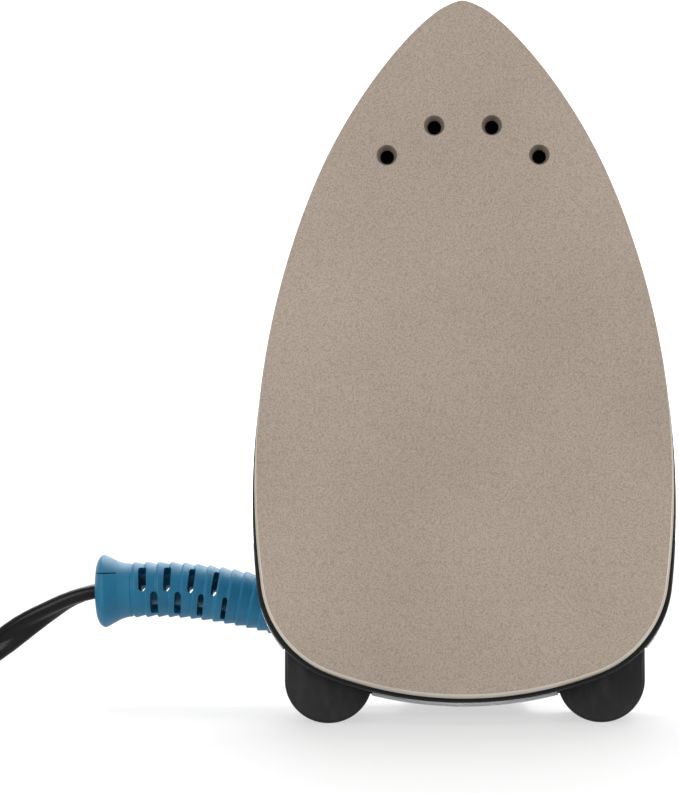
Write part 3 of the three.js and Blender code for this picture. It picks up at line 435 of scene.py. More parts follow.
def scuffed_black():
    """Matte black with faint pale scuffs, for the heel that rubs on the ironing board."""
    mat, tree, bsdf = shader("heel_black")
    base = ramp(tree, noise(tree, 90), (0.006, 0.0055, 0.0065), (0.01, 0.009, 0.011))
    scuffs = spread(tree, noise(tree, 260, 4.0, stretch=(1, 1, 0.25)), -0.25, 0.24)
    colour = mixed(tree, scuffs, base, (0.05, 0.047, 0.05, 1))
    surface(tree, bsdf, colour, spread(tree, noise(tree, 160), 0.36, 0.6), noise(tree, 150, 6.0), 0.35)
    feed(tree, bsdf, {"Specular IOR Level": 0.26})
    return mat


def drawn_metal(name, dark, light, roughness):
    """Bare metal with fine drawing lines."""
    mat, tree, bsdf = shader(name)
    lines = noise(tree, 2400, 2.0, stretch=(1, 0.2, 1))
    gloss = spread(tree, noise(tree, 220), *roughness)
    surface(tree, bsdf, ramp(tree, lines, dark, light), gloss, lines, 0.001)
    feed(tree, bsdf, {"Metallic": 1.0})
    return mat


MATERIALS = {
    "sole_coating": sole_coating(),
    "tank_clear": clear_plastic(),
    "heel_black": scuffed_black(),
    "steel": drawn_metal("steel", (0.36, 0.37, 0.38), (0.52, 0.53, 0.54), (0.24, 0.38)),
    "brass": drawn_metal("brass", (0.47, 0.33, 0.1), (0.54, 0.385, 0.125), (0.24, 0.34)),
}
# Each row: the darker and lighter colour, roughness, patches and grain to a metre, grain depth, the rest.
for label, *look in (
    # The sole's rim: the coating painted lighter, a painted highlight of the light that the bevel catches
    # from below.
    ("sole_rim_painted_highlight", (0.44, 0.395, 0.335), (0.5, 0.45, 0.385), (0.34, 0.42), 60, 2600, 0.006,
     {"Metallic": 0.3}),
    # The vents' bores: near black, painted shade deep in the holes.
    ("vent_painted_shade", (0.002, 0.002, 0.002), (0.004, 0.004, 0.003), (0.7, 0.8), 60, 900, 0.02,
     {"Specular IOR Level": 0.1}),
    ("skirt_black", (0.003, 0.003, 0.003), (0.005, 0.005, 0.005), (0.16, 0.24), 60, 700, 0.004,
     {"Specular IOR Level": 0.35}),
    ("housing_black", (0.006, 0.006, 0.007), (0.01, 0.01, 0.011), (0.3, 0.4), 60, 1800, 0.01, {}),
    ("grip_black", (0.012, 0.012, 0.013), (0.019, 0.019, 0.02), (0.62, 0.76), 60, 2200, 0.05,
     {"Sheen Weight": 0.2, "Sheen Roughness": 0.5}),
    ("accent_blue", (0.008, 0.11, 0.205), (0.013, 0.13, 0.235), (0.3, 0.4), 60, 1600, 0.012, {}),
    ("guard_blue", (0.004, 0.125, 0.236), (0.008, 0.148, 0.275), (0.46, 0.58), 140, 1300, 0.025,
     {"Specular IOR Level": 0.4}),
    ("white_plastic", (0.62, 0.61, 0.57), (0.7, 0.69, 0.65), (0.35, 0.45), 60, 1500, 0.01, {}),
    ("phenolic", (0.42, 0.38, 0.31), (0.52, 0.48, 0.41), (0.6, 0.72), 60, 900, 0.04, {}),
    ("silicone", (0.36, 0.075, 0.03), (0.42, 0.095, 0.04), (0.5, 0.6), 60, 1100, 0.02, {}),
    ("cord_black", (0.002, 0.002, 0.002), (0.004, 0.004, 0.004), (0.3, 0.4), 110, 1600, 0.02,
     {"Specular IOR Level": 0.2}),
    ("wire_white", (0.6, 0.6, 0.57), (0.7, 0.7, 0.68), (0.4, 0.5), 60, 1300, 0.015, {}),
    ("amber", (0.62, 0.14, 0.012), (0.7, 0.18, 0.02), (0.1, 0.16), 60, 800, 0.004,
     {"Transmission Weight": 0.75}),
):
    MATERIALS[label] = moulded(label, *look)


def set_materials(obj, *names):
    obj.data.materials.clear()
    for name in names:
        obj.data.materials.append(MATERIALS[name])


def finish_piece(obj, name, slot, body, *nodes):
    """Names a piece, gives it its slot's material, and rides it on its body in the nodes' place."""
    obj.name = name
    if not any(obj.data.materials):
        set_materials(obj, slot)
    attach(obj, body)
    if nodes:
        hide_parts(*nodes)
    return obj


# ---- camera, light and floor
CAMERA = Sizes(lens=180.4, shift=-0.1569, place=(0, -1.0493, 0.0825), roll=radians(0.2))
LIGHT_AIM = (0, 0, 0.08)
WORLD_LIGHT = 0.45                    # how strongly the surroundings light the iron
WORLD_SEEN = 0.76                     # how bright they look, so that they meet the floor's far edge
STAGE_REACH = 3.0
SWEEP = Sizes(start=1.2, radius=0.8, steps=12)


def add_camera():
    """A long lens, level and square to the sole, with the faint roll that the iron is seen with."""
    data = bpy.data.cameras.new("camera")
    data.sensor_width = 36
    data.lens = CAMERA.lens
    data.shift_x = CAMERA.shift
    data.clip_start = 0.05
    camera = bpy.data.objects.new("camera", data)
    camera.location = CAMERA.place
    camera.rotation_euler = (radians(90), CAMERA.roll, 0)
    add_to_scene(camera)
    bpy.context.scene.camera = camera


def add_area(name, place, size, watts):
    data = bpy.data.lights.new(name, "AREA")
    data.size = size
    data.energy = watts
    lamp = bpy.data.objects.new(name, data)
    lamp.location = place
    lamp.rotation_euler = (Vector(LIGHT_AIM) - Vector(place)).to_track_quat("-Z", "Y").to_euler()
    add_to_scene(lamp)


def add_lights():
    """A broad light above and behind, whose soft shadow falls in front, and gentler ones in front."""
    add_area("overhead", (0.1, 0.95, 1.3), 1.6, 42)
    add_area("front_left", (-1.0, -1.6, 0.9), 1.0, 20)
    add_area("front_right", (1.2, -1.5, 0.8), 1.0, 19)
    world = bpy.data.worlds.new("studio")
    world.use_nodes = True
    tree = world.node_tree
    seen = made(tree, "LightPath", {}, "Is Camera Ray")
    strength = made(tree, "Mix", {"Factor": seen, "A": WORLD_LIGHT, "B": WORLD_SEEN}, "Result")
    feed(tree, tree.nodes["Background"], {"Color": (1, 1, 1, 1), "Strength": strength})
    bpy.context.scene.world = world
    bpy.context.scene.view_settings.view_transform = "Standard"


def open_from_behind(mat):
    """Lets a view from behind the backdrop look through it."""
    tree = mat.node_tree
    behind = made(tree, "NewGeometry", {}, "Backfacing")
    solid = tree.nodes["Principled BSDF"].outputs["BSDF"]
    through = made(tree, "BsdfTransparent", {}, "BSDF")
    blend = made(tree, "MixShader", {0: behind, 1: solid, 2: through}, "Shader")
    feed(tree, tree.nodes["Material Output"], {"Surface": blend})


def add_floor():
    """A pale floor with a faint glow, so that shadows stay soft, and a sweep up to a white backdrop."""
    start, radius = SWEEP.start, SWEEP.radius
    level = [(-STAGE_REACH, 0.0), (start, 0.0)]
    sweep = [(start + radius * sin(turn), radius - radius * cos(turn))
             for turn in quarter_turn(SWEEP.steps)]
    sweep.append((start + radius, STAGE_REACH))
    for name, profile, grey, glow in (("floor", level, 0.19, 0.6), ("backdrop", sweep, 0.6, 0.8)):
        vertices = [(x, y, z) for y, z in profile for x in (-STAGE_REACH, STAGE_REACH)]
        faces = [(2 * i, 2 * i + 1, 2 * i + 3, 2 * i + 2) for i in range(len(profile) - 1)]
        stage = new_object(name, vertices, faces, Matrix.Identity(4))
        stage.data.polygons.foreach_set("use_smooth", [True] * len(faces))
        lit = {"Emission Color": (1, 1, 1, 1), "Emission Strength": glow, "Specular IOR Level": 0.1}
        mat = moulded(name + "_white", (grey,) * 3, (grey * 1.03,) * 3, (0.6, 0.7), 3, 300, 0.01, lit)
        stage.data.materials.append(mat)
        if name == "backdrop":
            open_from_behind(mat)


# ---- the mains cord
CORD = Sizes(width=7.4, thickness=3.9, groove=0.45, lip=0.55, floor_from=-150)
COIL = Sizes(x=-196.0, y=44.0, outer=55.4, inner=32.8, turns=3, last=45)
LAYER_Z = [2.0, 6.15, 10.3]
ROLL = Sizes(start=-100, over=48)


def spiral(start_radius, end_radius, start_angle, sweep, z0, z1, rise_from=0.0):
    """Points round the coil, 24 to a turn; the height changes over the last part of the sweep."""
    count = max(2, round(sweep / (2 * pi) * 24))
    points = []
    for i in range(1, count + 1):
        t = i / count
        radius = start_radius + (end_radius - start_radius) * t
        angle = start_angle + sweep * t
        x = COIL.x + radius * cos(angle)
        y = COIL.y + radius * sin(angle)
        rise = max((t - rise_from) / (1 - rise_from), 0)
        points.append((x, y, z0 + (z1 - z0) * rise))
    return points


def cord_route():
    """From inside the guard, down to the floor, round the coil and into the plug."""
    y = DRUM.y
    route = [(-89, y, 30.6), (-96, y, 30.6), (-100.2, y, 30.3), (-106, y, 28.4), (-112, y + 0.1, 25.1)]
    route += [(-118.3, y + 0.4, 21.2), (-125, y + 1.2, 16.3), (-131.5, y + 2.8, 11.4), (-139, y + 5.8, 6.8)]
    route += [(-148, y + 10.6, 3.6), (-157, y + 15.0, 2.3), (-168, y + 18.6, 2.0), (-182, y + 19.6, 2.0)]
    route.append((COIL.x, y + 19.4, 2.0))
    outer, inner = COIL.outer, COIL.inner
    low, middle, high = LAYER_Z
    start, whole, part = pi / 2, 2 * pi * COIL.turns, pi * 0.35
    route += spiral(outer, inner, start, whole, low, middle, 0.93)
    route += spiral(inner, outer, start, whole, middle, middle)
    route += spiral(outer, outer, start, part, middle, high)
    route += spiral(outer, COIL.last, start + part, pi - part, high, high)
    return route + [(-189, -1, 12.4), (-183, -1, 14.1), (-178, -1, 14.1)]


def twist_at(x):
    """How far the flat cord is rolled over about itself, between the guard and the floor."""
    t = min(max((ROLL.start - x) / ROLL.over, 0), 1)
    return pi * t * t * (3 - 2 * t)


def cord_section():
    """The flat cord's outline: two round cores with a groove between them."""
    half = CORD.thickness / 2
    core = CORD.width / 2 - half
    points = []
    for i in range(9):
        turn = -pi / 2 + pi * i / 8
        points.append((core + half * cos(turn), half * sin(turn)))
    shallow = half - CORD.groove * 0.45
    points += [(CORD.lip, shallow), (0.0, half - CORD.groove), (-CORD.lip, shallow)]
    return points + [(-a, -b) for a, b in points]


def make_cord():
    """The flat lead itself, the points that it follows, and its length in metres."""
    path = smooth_path(cord_route(), 720)
    section = cord_section()
    rings = []
    on_floor = False
    for i, centre in enumerate(path):
        along = direction(path, i)
        across = Vector((0, 0, 1)).cross(along).normalized()
        up = along.cross(across)
        on_floor = on_floor or centre.x < CORD.floor_from
        turn = pi if on_floor else twist_at(centre.x)
        wide = across * cos(turn) + up * sin(turn)
        thin = along.cross(wide)
        rings.append([centre + wide * a + thin * b for a, b in section])
    obj = shade(loft("mains_cord", rings, STANDING), 60)
    world_path = [STANDING @ p for p in path]
    return obj, world_path, path_length(path) * MM


# ---- sole, skirt and tank
SKIRT = Sizes(bottom=8.3, top=15.2, wall=2.0, flange=5.0)
TANK = Sizes(bottom=15.5, top=38.0, wall=1.8, lobe_gap=0.5)
LID = Sizes(bottom=38.3, top=39.8)
# Ways up through the tank or its lid: x, z and radius.
STEM_WAY, WIRE_WAY, VALVE_WAY, SPOUT_WAY = (0, 56, 4.2), (0, 31, 3.4), (0, 130, 3.1), (0, 154, 6.0)
PUMP_WAYS = [(7, 136, 1.8), (-7, 136, 1.8)]
VENT = Sizes(mouth=2.55, bore=1.7, depth=3.4, zone=4)
SOLE_BEVEL = 0.9
BEVEL = edge_along([(0, 1.0), (30, 0.9), (70, 0.45), (110, 0.3), (178, 0.3)])
SKIRT_EDGE = edge_along([(0, 1.0), (22, 1.45), (50, 0.95), (84, 0.4), (140, 0.2)])
TANK_EDGE = edge_along([(0, 1.6), (22, 1.7), (50, 1.2), (84, 0.6), (140, 0.3)])
SKIRT_DRAFT = 0.35
TANK_DRAFT = 1.3
TANK_TOP = inset(TANK_EDGE, TANK_DRAFT)


def lobe_section(side, growth):
    """A heel lobe's section: round below, with its outer side straight up to the body."""
    radius = LOBE.radius + growth
    middle = LOBE.radius - LOBE.flat
    below = middle + growth
    points = []
    for i in range(73):
        turn = pi * (0.5 + 1.5 * i / 72)
        reach = radius if sin(turn) > 0 else below
        points.append((side * (LOBE.x + radius * cos(turn)), middle + reach * sin(turn)))
    return points + [(side * (LOBE.x + radius), LOBE.side + growth)]


def at_front(x, z, behind):
    """The standing point at (x, z), that far behind the lobes' front plane."""
    local = LOBE.front + behind
    return Vector((x, (local + (z - HEEL_LIFT) * sin(LEAN)) / cos(LEAN), z))


def lobe_room(gap):
    """The room for the two heel lobes, with some clearance."""
    rooms = []
    for side in (-1, 1):
        section = lobe_section(side, gap)
        rooms.append(loft("tool", [[(x, y, z) for x, z in section] for y in (-10, 90)], STANDING))
    return rooms


def upright_rod(x, z, radius, y0=-5, y1=90, sides=24):
    return turned("tool", [(radius, y0), (radius, y1)], (x, 0, z), (0, 1, 0), IRON, sides)


def rods(ways, wall=0):
    return [upright_rod(x, z, radius + wall) for x, z, radius in ways]


def make_sole():
    """The coated sole with its bevelled rim painted lighter, a painted highlight; its vents are coated at
    the mouth and painted near black inside, a painted shade.
    """
    bevel = []
    for turn in quarter_turn(6):
        share = 1 - sin(turn)
        bevel.append((SOLE_BEVEL * (1 - cos(turn)), lambda z, share=share: -share * BEVEL(z)))
    levels = bevel + [(3.0, 0.0), (7.0, 0.0), (7.5, -0.2), (8.0, -1.0)]
    sole = stack("soleplate_coated", levels, radians(1.2))
    mouth, bore, depth = VENT.mouth, VENT.bore, VENT.depth
    profile = [(mouth + 0.25, -0.1), (mouth + 0.1, 0.02), (mouth - 0.05, 0.25)]
    profile += [(bore + 0.05, depth - 0.1), (bore, depth + 0.3), (bore, 7.2)]
    boolean(sole, [turned("tool", profile, (x, 0, z), (0, 1, 0), IRON, 48) for x, z in VENTS])
    set_materials(sole, "sole_coating", "sole_rim_painted_highlight", "vent_painted_shade")
    coating, rim, dark = range(3)
    to_iron = IRON.inverted()
    for face in sole.data.polygons:
        place = to_iron @ face.center
        if any(hypot(place.x - x, place.z - z) < VENT.zone for x, z in VENTS):
            # Faces deep in a bore take the near-black colour: painted shade.
            face.material_index = dark if place.y > depth - 0.15 else coating
        else:
            # Rim faces take the lighter colour: a painted highlight on the bevel.
            face.material_index = rim if place.y > 0.03 else coating
    finish_piece(shade(sole, 40), "soleplate_coated", "sole_coating", "iron", "soleplate")


def make_skirt():
    """The glossy rim round the sole."""
    bottom, top = SKIRT.bottom, SKIRT.top
    skirt = stack("sole_skirt", rounded(bottom, top, SKIRT_EDGE, 0.3, 0.45, SKIRT_DRAFT))
    inside = inset(SKIRT_EDGE, SKIRT.wall)
    under_flange = inset(SKIRT_EDGE, SKIRT.flange)
    room = stack("tool", [(bottom - 1, inside), (top - SKIRT.wall, inside)])
    mouth = stack("tool", [(bottom - 2, under_flange), (top + 1, under_flange)])
    boolean(skirt, [room, mouth])
    finish_piece(shade(skirt, 40), "sole_skirt", "skirt_black", "iron", "skirt")


def make_tank():
    """The clear water tank: a hollow wall with tubes left standing round the stem and the wires."""
    bottom, top, wall, gap = TANK.bottom, TANK.top, TANK.wall, TANK.lobe_gap
    tubes = [STEM_WAY, WIRE_WAY]
    tank = stack("water_tank_clear", rounded(bottom, top, TANK_EDGE, 0.3, 0.8, TANK_DRAFT))
    boolean(tank, lobe_room(gap))
    inner = stack("tool", rounded(bottom + wall, top + 3, inset(TANK_EDGE, wall), 0.2, 1.2, TANK_DRAFT))
    boolean(inner, rods(tubes, wall) + lobe_room(gap + wall))
    boolean(tank, [inner] + rods(tubes + [VALVE_WAY, PUMP_WAYS[0]]))
    finish_piece(shade(tank, 40), "water_tank_clear", "tank_clear", "iron", "water_tank")


def make_lid():
    lid = stack("tank_lid_clear", rounded(LID.bottom, LID.top, TANK_TOP, 0.3, 0.3))
    ways = [STEM_WAY, WIRE_WAY, VALVE_WAY, *PUMP_WAYS, SPOUT_WAY]
    boolean(lid, lobe_room(TANK.lobe_gap) + rods(ways))
    finish_piece(shade(lid, 40), "tank_lid_clear", "tank_clear", "iron", "tank_lid")


# ---- the cord guard
GUARD_POINTS = [(-4.5, 80, 17), (-17.5, 80, 17), (-35, 80, 21.4), (-55.6, 80, 27.4), (-76.6, 80, 30.7),
                (-99.0, 80, 30.5)]
# A rib rises over the first share of its pitch, holds its crest to the second, and falls off.
RIB = Sizes(first=11.1, pitch=3.18, count=22, crest=7.45, groove=6.85, phase=0.35,
            rise=0.16, hold=0.22)
NECK = Sizes(radius=4.8, end=11.5)
SLOT = Sizes(count=8, half_length=3.6, inner=3.0, outer=9.0, place=0.55, half_width=1.12)
BORE = Sizes(radius=4.1, flare=1.2, flare_from=-96, flare_over=3.7)
BELL_END = 9.6
GUARD_RINGS = 400
BELL = edge_along([(0, 5.6), (0.12, 6.6), (0.4, 7.7), (0.9, 8.7), (1.5, 9.4), (2.1, 9.75), (2.6, 9.7),
                   (3.2, 9.4), (4.6, 8.7), (6.4, 7.8), (8.2, 7.3), (BELL_END, 7.15)])


def guard_radius(from_mouth, from_root):
    """The guard's radius, by distance from its mouth and from its root."""
    if from_root < NECK.end:
        return NECK.radius
    if from_mouth < BELL_END:
        return BELL(from_mouth)
    index = (from_mouth - RIB.first) / RIB.pitch + RIB.phase
    if 0 < index < RIB.count:
        share = index % 1.0
        rise = sin(pi / 2 * min(share / RIB.rise, 1))
        fall = 1 - max(share - RIB.hold, 0) / (1 - RIB.hold)
        return RIB.groove + (RIB.crest - RIB.groove) * min(rise, fall)
    return RIB.groove + 0.1


def slot_cutter(centre, along, angle, half_width):
    """A long rounded slot across one groove, through the guard's wall."""
    out = Vector((0, -1, 0)) * cos(angle) + Vector((0, 0, 1)) * sin(angle)
    out = (out - along * out.dot(along)).normalized()
    side = along.cross(out)
    ring = []
    for i in range(16):
        turn = 2 * pi * (i + 0.5) / 16
        reach = SLOT.half_length - half_width
        end = reach if cos(turn) > 0 else -reach
        ring.append(side * (end + half_width * cos(turn)) + along * (half_width * sin(turn)))
    return loft("tool", [[centre + out * SLOT.inner + p for p in ring],
                         [centre + out * SLOT.outer + p for p in ring]], STANDING)


def make_guard():
    """The ribbed rubber guard, from its neck in the drum to its bell mouth, with the cord's bore."""
    path = smooth_path(GUARD_POINTS, GUARD_RINGS)
    length = path_length(path)
    back = Vector((0, 1, 0))
    rings = []
    for i, centre in enumerate(path):
        up = direction(path, i).cross(back).normalized()
        done = i / (GUARD_RINGS - 1) * length
        rings.append(circle(centre, back, up, guard_radius(length - done, done), 56))
    guard = loft("cord_guard_ribbed", rings, STANDING)
    slots = []
    for index in range(SLOT.count):
        distance = length - (RIB.first + (index + SLOT.place) * RIB.pitch)
        i = round(distance / length * (GUARD_RINGS - 1))
        angle = radians(30 if index % 2 == 0 else -32)
        half_width = SLOT.half_width - 0.06 * index
        for turn in (angle, angle + pi):
            slots.append(slot_cutter(path[i], direction(path, i), turn, half_width))
    bore_path = smooth_path([(-2, 80, 17)] + GUARD_POINTS[1:-1] + [(-95, 80, 30.6), (-102, 80, 30.5)], 80)
    bore = []
    for i, centre in enumerate(bore_path):
        up = direction(bore_path, i).cross(back).normalized()
        flare = max(0.0, (BORE.flare_from - centre.x) / BORE.flare_over) ** 2
        bore.append(circle(centre, back, up, BORE.radius + BORE.flare * flare, 32))
    slit = box_standing(-100, GUARD_POINTS[-1][0] + 5.8, 68, 75, 35.45, 35.75)
    boolean(guard, [loft("tool", bore, STANDING), slit] + slots)
    return finish_piece(shade(guard, 38), "cord_guard_ribbed", "guard_blue", "swivel", "cord_guard")


# ---- the heel lobes
def make_lobe(side):
    """A heel lobe, with a softly rounded front edge."""
    soft = LOBE.rounding
    rings = []
    for turn in quarter_turn(6):
        section = lobe_section(side, -soft * (1 - sin(turn)))
        rings.append([at_front(x, z, soft * (1 - cos(turn))) for x, z in section])
    rings.append([Vector((x, LOBE.back, z)) for x, z in lobe_section(side, 0)])
    return loft("lobe", rings, STANDING)


# ---- the upper body
BODY = Sizes(bottom=40.1, top=58.0)
DOME_LEVELS = [(36, 0.4), (40.1, 0.0), (45, -0.7), (50, -2.6), (54, -5.6), (56.6, -8.5), (58, -11)]
DECK = Sizes(z=138.0, slope=atan2(10, 39))
TOWER = Sizes(radius=16.3, half_width=18.5, bottom=4.2, top=36.0, split=17.0)
HANDLE_LINE = [(0, 84, 36), (0, 89, 47), (0, 92.6, 63), (0, 93.8, 86), (0, 93.3, 110), (0, 87, 126),
               (0, 76, 134), (0, 63, 137.5), (0, 48, 138)]
HANDLE_HALF = [(15.5, 12.5, 0), (14.8, 11.5, 0), (14.2, 10.8, 0), (14, 10.5, 0), (13.6, 10.5, 0),
               (13.2, 10.5, 0), (13.2, 10.3, 0), (14, 10.6, 0), (16, 12, 0)]
GRIP = Sizes(start=0.14, end=0.62, seam=1.5)
SELECTOR_SLOT = (-1.8, 1.8, 95, 120, 109.6, 117.4)
BUTTON_WELL = (-7.4, 7.4, 97, 120, 85.6, 98.4)
LAMP_HOLE = Sizes(z=42, radius=3.3)
FILLER = Sizes(z=158, radius=6)
EAR = Sizes(z=167, radius=1.8, width=1.9, from_x=(-7.2, 5.3))
HEEL_SCREW = Sizes(x=11.5, y=55, head=3.1, shank=1.9)
GAP = 0.3                             # clearance between separate mouldings
VOXEL = 0.9
WAY_OUT = 200


def handle_frame(fraction):
    """The centre of the handle's section there, and the directions along and outward."""
    centre = curve_point(HANDLE_LINE, fraction)
    ahead = curve_point(HANDLE_LINE, min(fraction + 0.002, 1))
    behind = curve_point(HANDLE_LINE, max(fraction - 0.002, 0))
    along = (ahead - behind).normalized()
    return centre, along, Vector((0, along.z, -along.y))


def round_section(fraction, wall, sides=72):
    half = curve_point(HANDLE_HALF, fraction)
    return squarish(half.x - wall, half.y - wall, 0.8, sides)


def sweep_handle(start, end, steps, section):
    """A body along part of the handle's line, from the section at each share of it."""
    rings = []
    for i in range(steps + 1):
        fraction = start + (end - start) * i / steps
        centre, along, out = handle_frame(fraction)
        rings.append([centre + out * h + Vector((x, 0, 0)) for x, h in section(fraction)])
    return loft("tool", rings)


def dome_curve(inset_by, low, high, steps):
    """Levels of the dome from low to high, smoothed between the stated ones."""
    curve = smooth_path([(y, offset, 0) for y, offset in DOME_LEVELS], 60)
    heights = [p.x for p in curve]
    offsets = [p.y for p in curve]
    levels = []
    for i in range(steps + 1):
        y = low + (high - low) * i / steps
        share = min(max((45 - y) / (45 - BODY.bottom), 0), 1)
        level = float(np.interp(y, heights, offsets)) - inset_by
        levels.append((y, lambda z, level=level, share=share: level + share * TANK_TOP(z)))
    return levels


def above_deck(lift):
    """Everything above the deck that slopes down to the nose."""
    reach = WAY_OUT
    deck = Matrix.Translation((0, BODY.top + lift, DECK.z)) @ Matrix.Rotation(DECK.slope, 4, "X")
    return block(-reach, reach, 0, reach, -reach, reach, IRON @ deck)


def tower_outline(shrink, y0=46.0, sides=36):
    """The swivel's tower from above: straight sides and a round back."""
    radius, half = TOWER.radius - shrink, TOWER.half_width - shrink
    points = [(half, y0)]
    for i in range(sides + 1):
        turn = pi * i / sides
        points.append((radius * cos(turn), DRUM.y + radius * sin(turn)))
    return points + [(-half, y0)]


def make_outside():
    """Dome, handle and tower in one, with the joins between them softened."""
    dome = stack("upper", dome_curve(0, 37.5, BODY.top, 22))
    boolean(dome, [above_deck(0)])
    handle = sweep_handle(0, 1, 64, lambda fraction: round_section(fraction, 0))
    top = TOWER.top
    rings = []
    for shrink, z in ((0, -3), (0, top - 5), (0.35, top - 3.4), (1.2, top - 2), (2.4, top - 0.8), (4, top)):
        rings.append([Vector((x, y, z)) for x, y in tower_outline(shrink)])
    tower = loft("tool", rings, STANDING)
    boolean(dome, [handle, tower], "UNION")
    remesh = dome.modifiers.new("remesh", "REMESH")
    remesh.mode = "VOXEL"
    remesh.voxel_size = VOXEL * MM
    smooth = dome.modifiers.new("smooth", "SMOOTH")
    smooth.factor = 0.5
    smooth.iterations = 8
    applied(dome)
    return dome


def box_standing(x0, x1, y0, y1, z0, z1):
    return block(x0, x1, y0, y1, z0, z1, STANDING)


def rod_standing(x, y, radius, z0, z1):
    return turned("tool", [(radius, z0), (radius, z1)], (x, y, 0), (0, 0, 1), STANDING, 48)


def hollow_out(shell):
    """Takes the inside out of the upper body, and the room for the swivel and the screws."""
    dome = stack("tool", dome_curve(2, 36, BODY.top - 2, 16))
    boolean(dome, [above_deck(-2)])
    handle = sweep_handle(0.04, 1, 40, lambda fraction: round_section(fraction, 2, 40))
    bottom, top = TOWER.bottom, TOWER.top
    low, high, y = DRUM.bottom, DRUM.top, DRUM.y
    rooms = [dome, handle,
             box_standing(-14, 14, 44, 61.5, bottom + 2, top - 3),
             box_standing(-8, 8, 50, 83, top - 7.5, top - 3),
             rod_standing(0, y, DRUM.radius + GAP, low - GAP, high + GAP),
             box_standing(-30, 30, 72, 110, low - GAP, high + GAP),
             rod_standing(0, y, 5.3, high - 1, high + 3.6),
             rod_standing(0, y, 4.3, low - 3, low + 1),
             rod_standing(0, y, 3, high, top - 1)]
    for x in (-HEEL_SCREW.x, HEEL_SCREW.x):
        rooms += [rod_standing(x, HEEL_SCREW.y, HEEL_SCREW.head, -1, bottom + 2.6),
                  rod_standing(x, HEEL_SCREW.y, HEEL_SCREW.shank, 0, 25)]
    rooms += [level_slab(-WAY_OUT, bottom), height_slab(-WAY_OUT, BODY.bottom)]
    return boolean(shell, rooms)


def level_slab(z0, z1):
    return box_standing(-WAY_OUT, WAY_OUT, -WAY_OUT, WAY_OUT, z0, z1)


def height_slab(y0, y1):
    return block(-WAY_OUT, WAY_OUT, y0, y1, -WAY_OUT, WAY_OUT)


def copy_of(obj):
    twin = obj.copy()
    twin.data = obj.data.copy()
    return add_to_scene(twin)


def grip_region(clearance):
    """The part of the handle that is soft grip, with some clearance round it."""
    seam = GRIP.seam - clearance
    grow = clearance * 0.002
    section = [(-30, seam), (30, seam), (30, 20), (-30, 20)]
    return sweep_handle(GRIP.start - grow, GRIP.end + grow, 40, lambda fraction: section)


def deck_point(z, lift):
    return Vector((0, BODY.top - (z - DECK.z) * tan(DECK.slope) + lift, z))


def make_upper_body():
    """The heel, the shell, the handle's moulding and its grip, all cut from one smooth body."""
    outside = make_outside()
    hollow_out(outside)
    heel = copy_of(outside)
    boolean(heel, [level_slab(TOWER.split - GAP / 2, WAY_OUT)])
    boolean(heel, [make_lobe(-1), make_lobe(1)], "UNION")
    boolean(heel, [level_slab(-WAY_OUT, 0)])
    finish_piece(shade(heel, 40), "heel_with_lobes", "heel_black", "iron", "heel_cover")

    openings = [block(*SELECTOR_SLOT), block(*BUTTON_WELL)]
    openings.append(upright_rod(0, LAMP_HOLE.z, LAMP_HOLE.radius, 90, 120, 40))
    boolean(outside, [level_slab(-WAY_OUT, TOWER.split + GAP / 2)] + openings)
    shell = copy_of(outside)
    grip = copy_of(outside)
    handle = outside

    boolean(shell, [height_slab(BODY.top + 0.12, WAY_OUT)])
    filler = upright_rod(0, FILLER.z, FILLER.radius, 44, 70, 48)
    dial_hole = upright_rod(0, DIAL.z, DIAL.hole, 50, 62, 32)
    boolean(shell, lobe_room(0.4) + [filler, dial_hole])
    boolean(shell, door_ears(), "UNION")
    finish_piece(shade(shell, 40), "body_shell_domed", "housing_black", "iron", "body_shell")

    boolean(handle, [height_slab(-WAY_OUT, BODY.top + GAP), grip_region(GAP)])
    finish_piece(shade(handle, 40), "handle_moulding", "housing_black", "iron", "handle_housing")

    boolean(grip, [grip_region(0)], "INTERSECT")
    finish_piece(shade(grip, 40), "handle_soft_grip", "grip_black", "iron", "handle_grip")


def door_ears():
    """The two ears on the deck that hold the fill door's pin."""
    radius = EAR.radius
    axis = deck_point(EAR.z, GAP + radius)
    ears = []
    for x0 in EAR.from_x:
        profile = []
        for i in range(24):
            turn = pi * i / 23
            profile.append((x0, axis.y + radius * sin(turn), axis.z + radius * cos(turn)))
        profile += [(x0, axis.y - 4, axis.z - 1.6), (x0, axis.y - 4, axis.z + 1.6)]
        ears.append(loft("tool", [profile, [(x + EAR.width, y, z) for x, y, z in profile]]))
    return ears


# ---- controls, swivel and plug
DIAL = Sizes(z=56.0, radius=13.0, bottom=58.6, top=65.5, stem=2.9, flutes=22, hole=3.0,
             socket=61.9, flute_depth=0.6)
POINTER = Sizes(half_width=1.2, from_z=58.2, to_z=62.8)
BEZEL = Sizes(bottom=58.3, marks=7, mark_radius=14.75)
SIDE_BORE = 5.1
TIE = Sizes(angle=radians(-20), width=8.0, strap=1.2, inner=30.6, outer=57.8,
            height=8.4)
PLUG = Sizes(rear=-174.0, front=-150.0, y=-1.0, z=14.1, half=10.0, half_height=5.35,
             neck=5.2, neck_height=4.1, pin=6.35)
RELIEF = Sizes(length=8, half=3.8, half_height=2.8, widens=1.0, pitch=2.0, ridge=0.45)
FINGER_GROOVES = Sizes(start=0.4, end=0.78, pitch=2.4, depth=0.35)


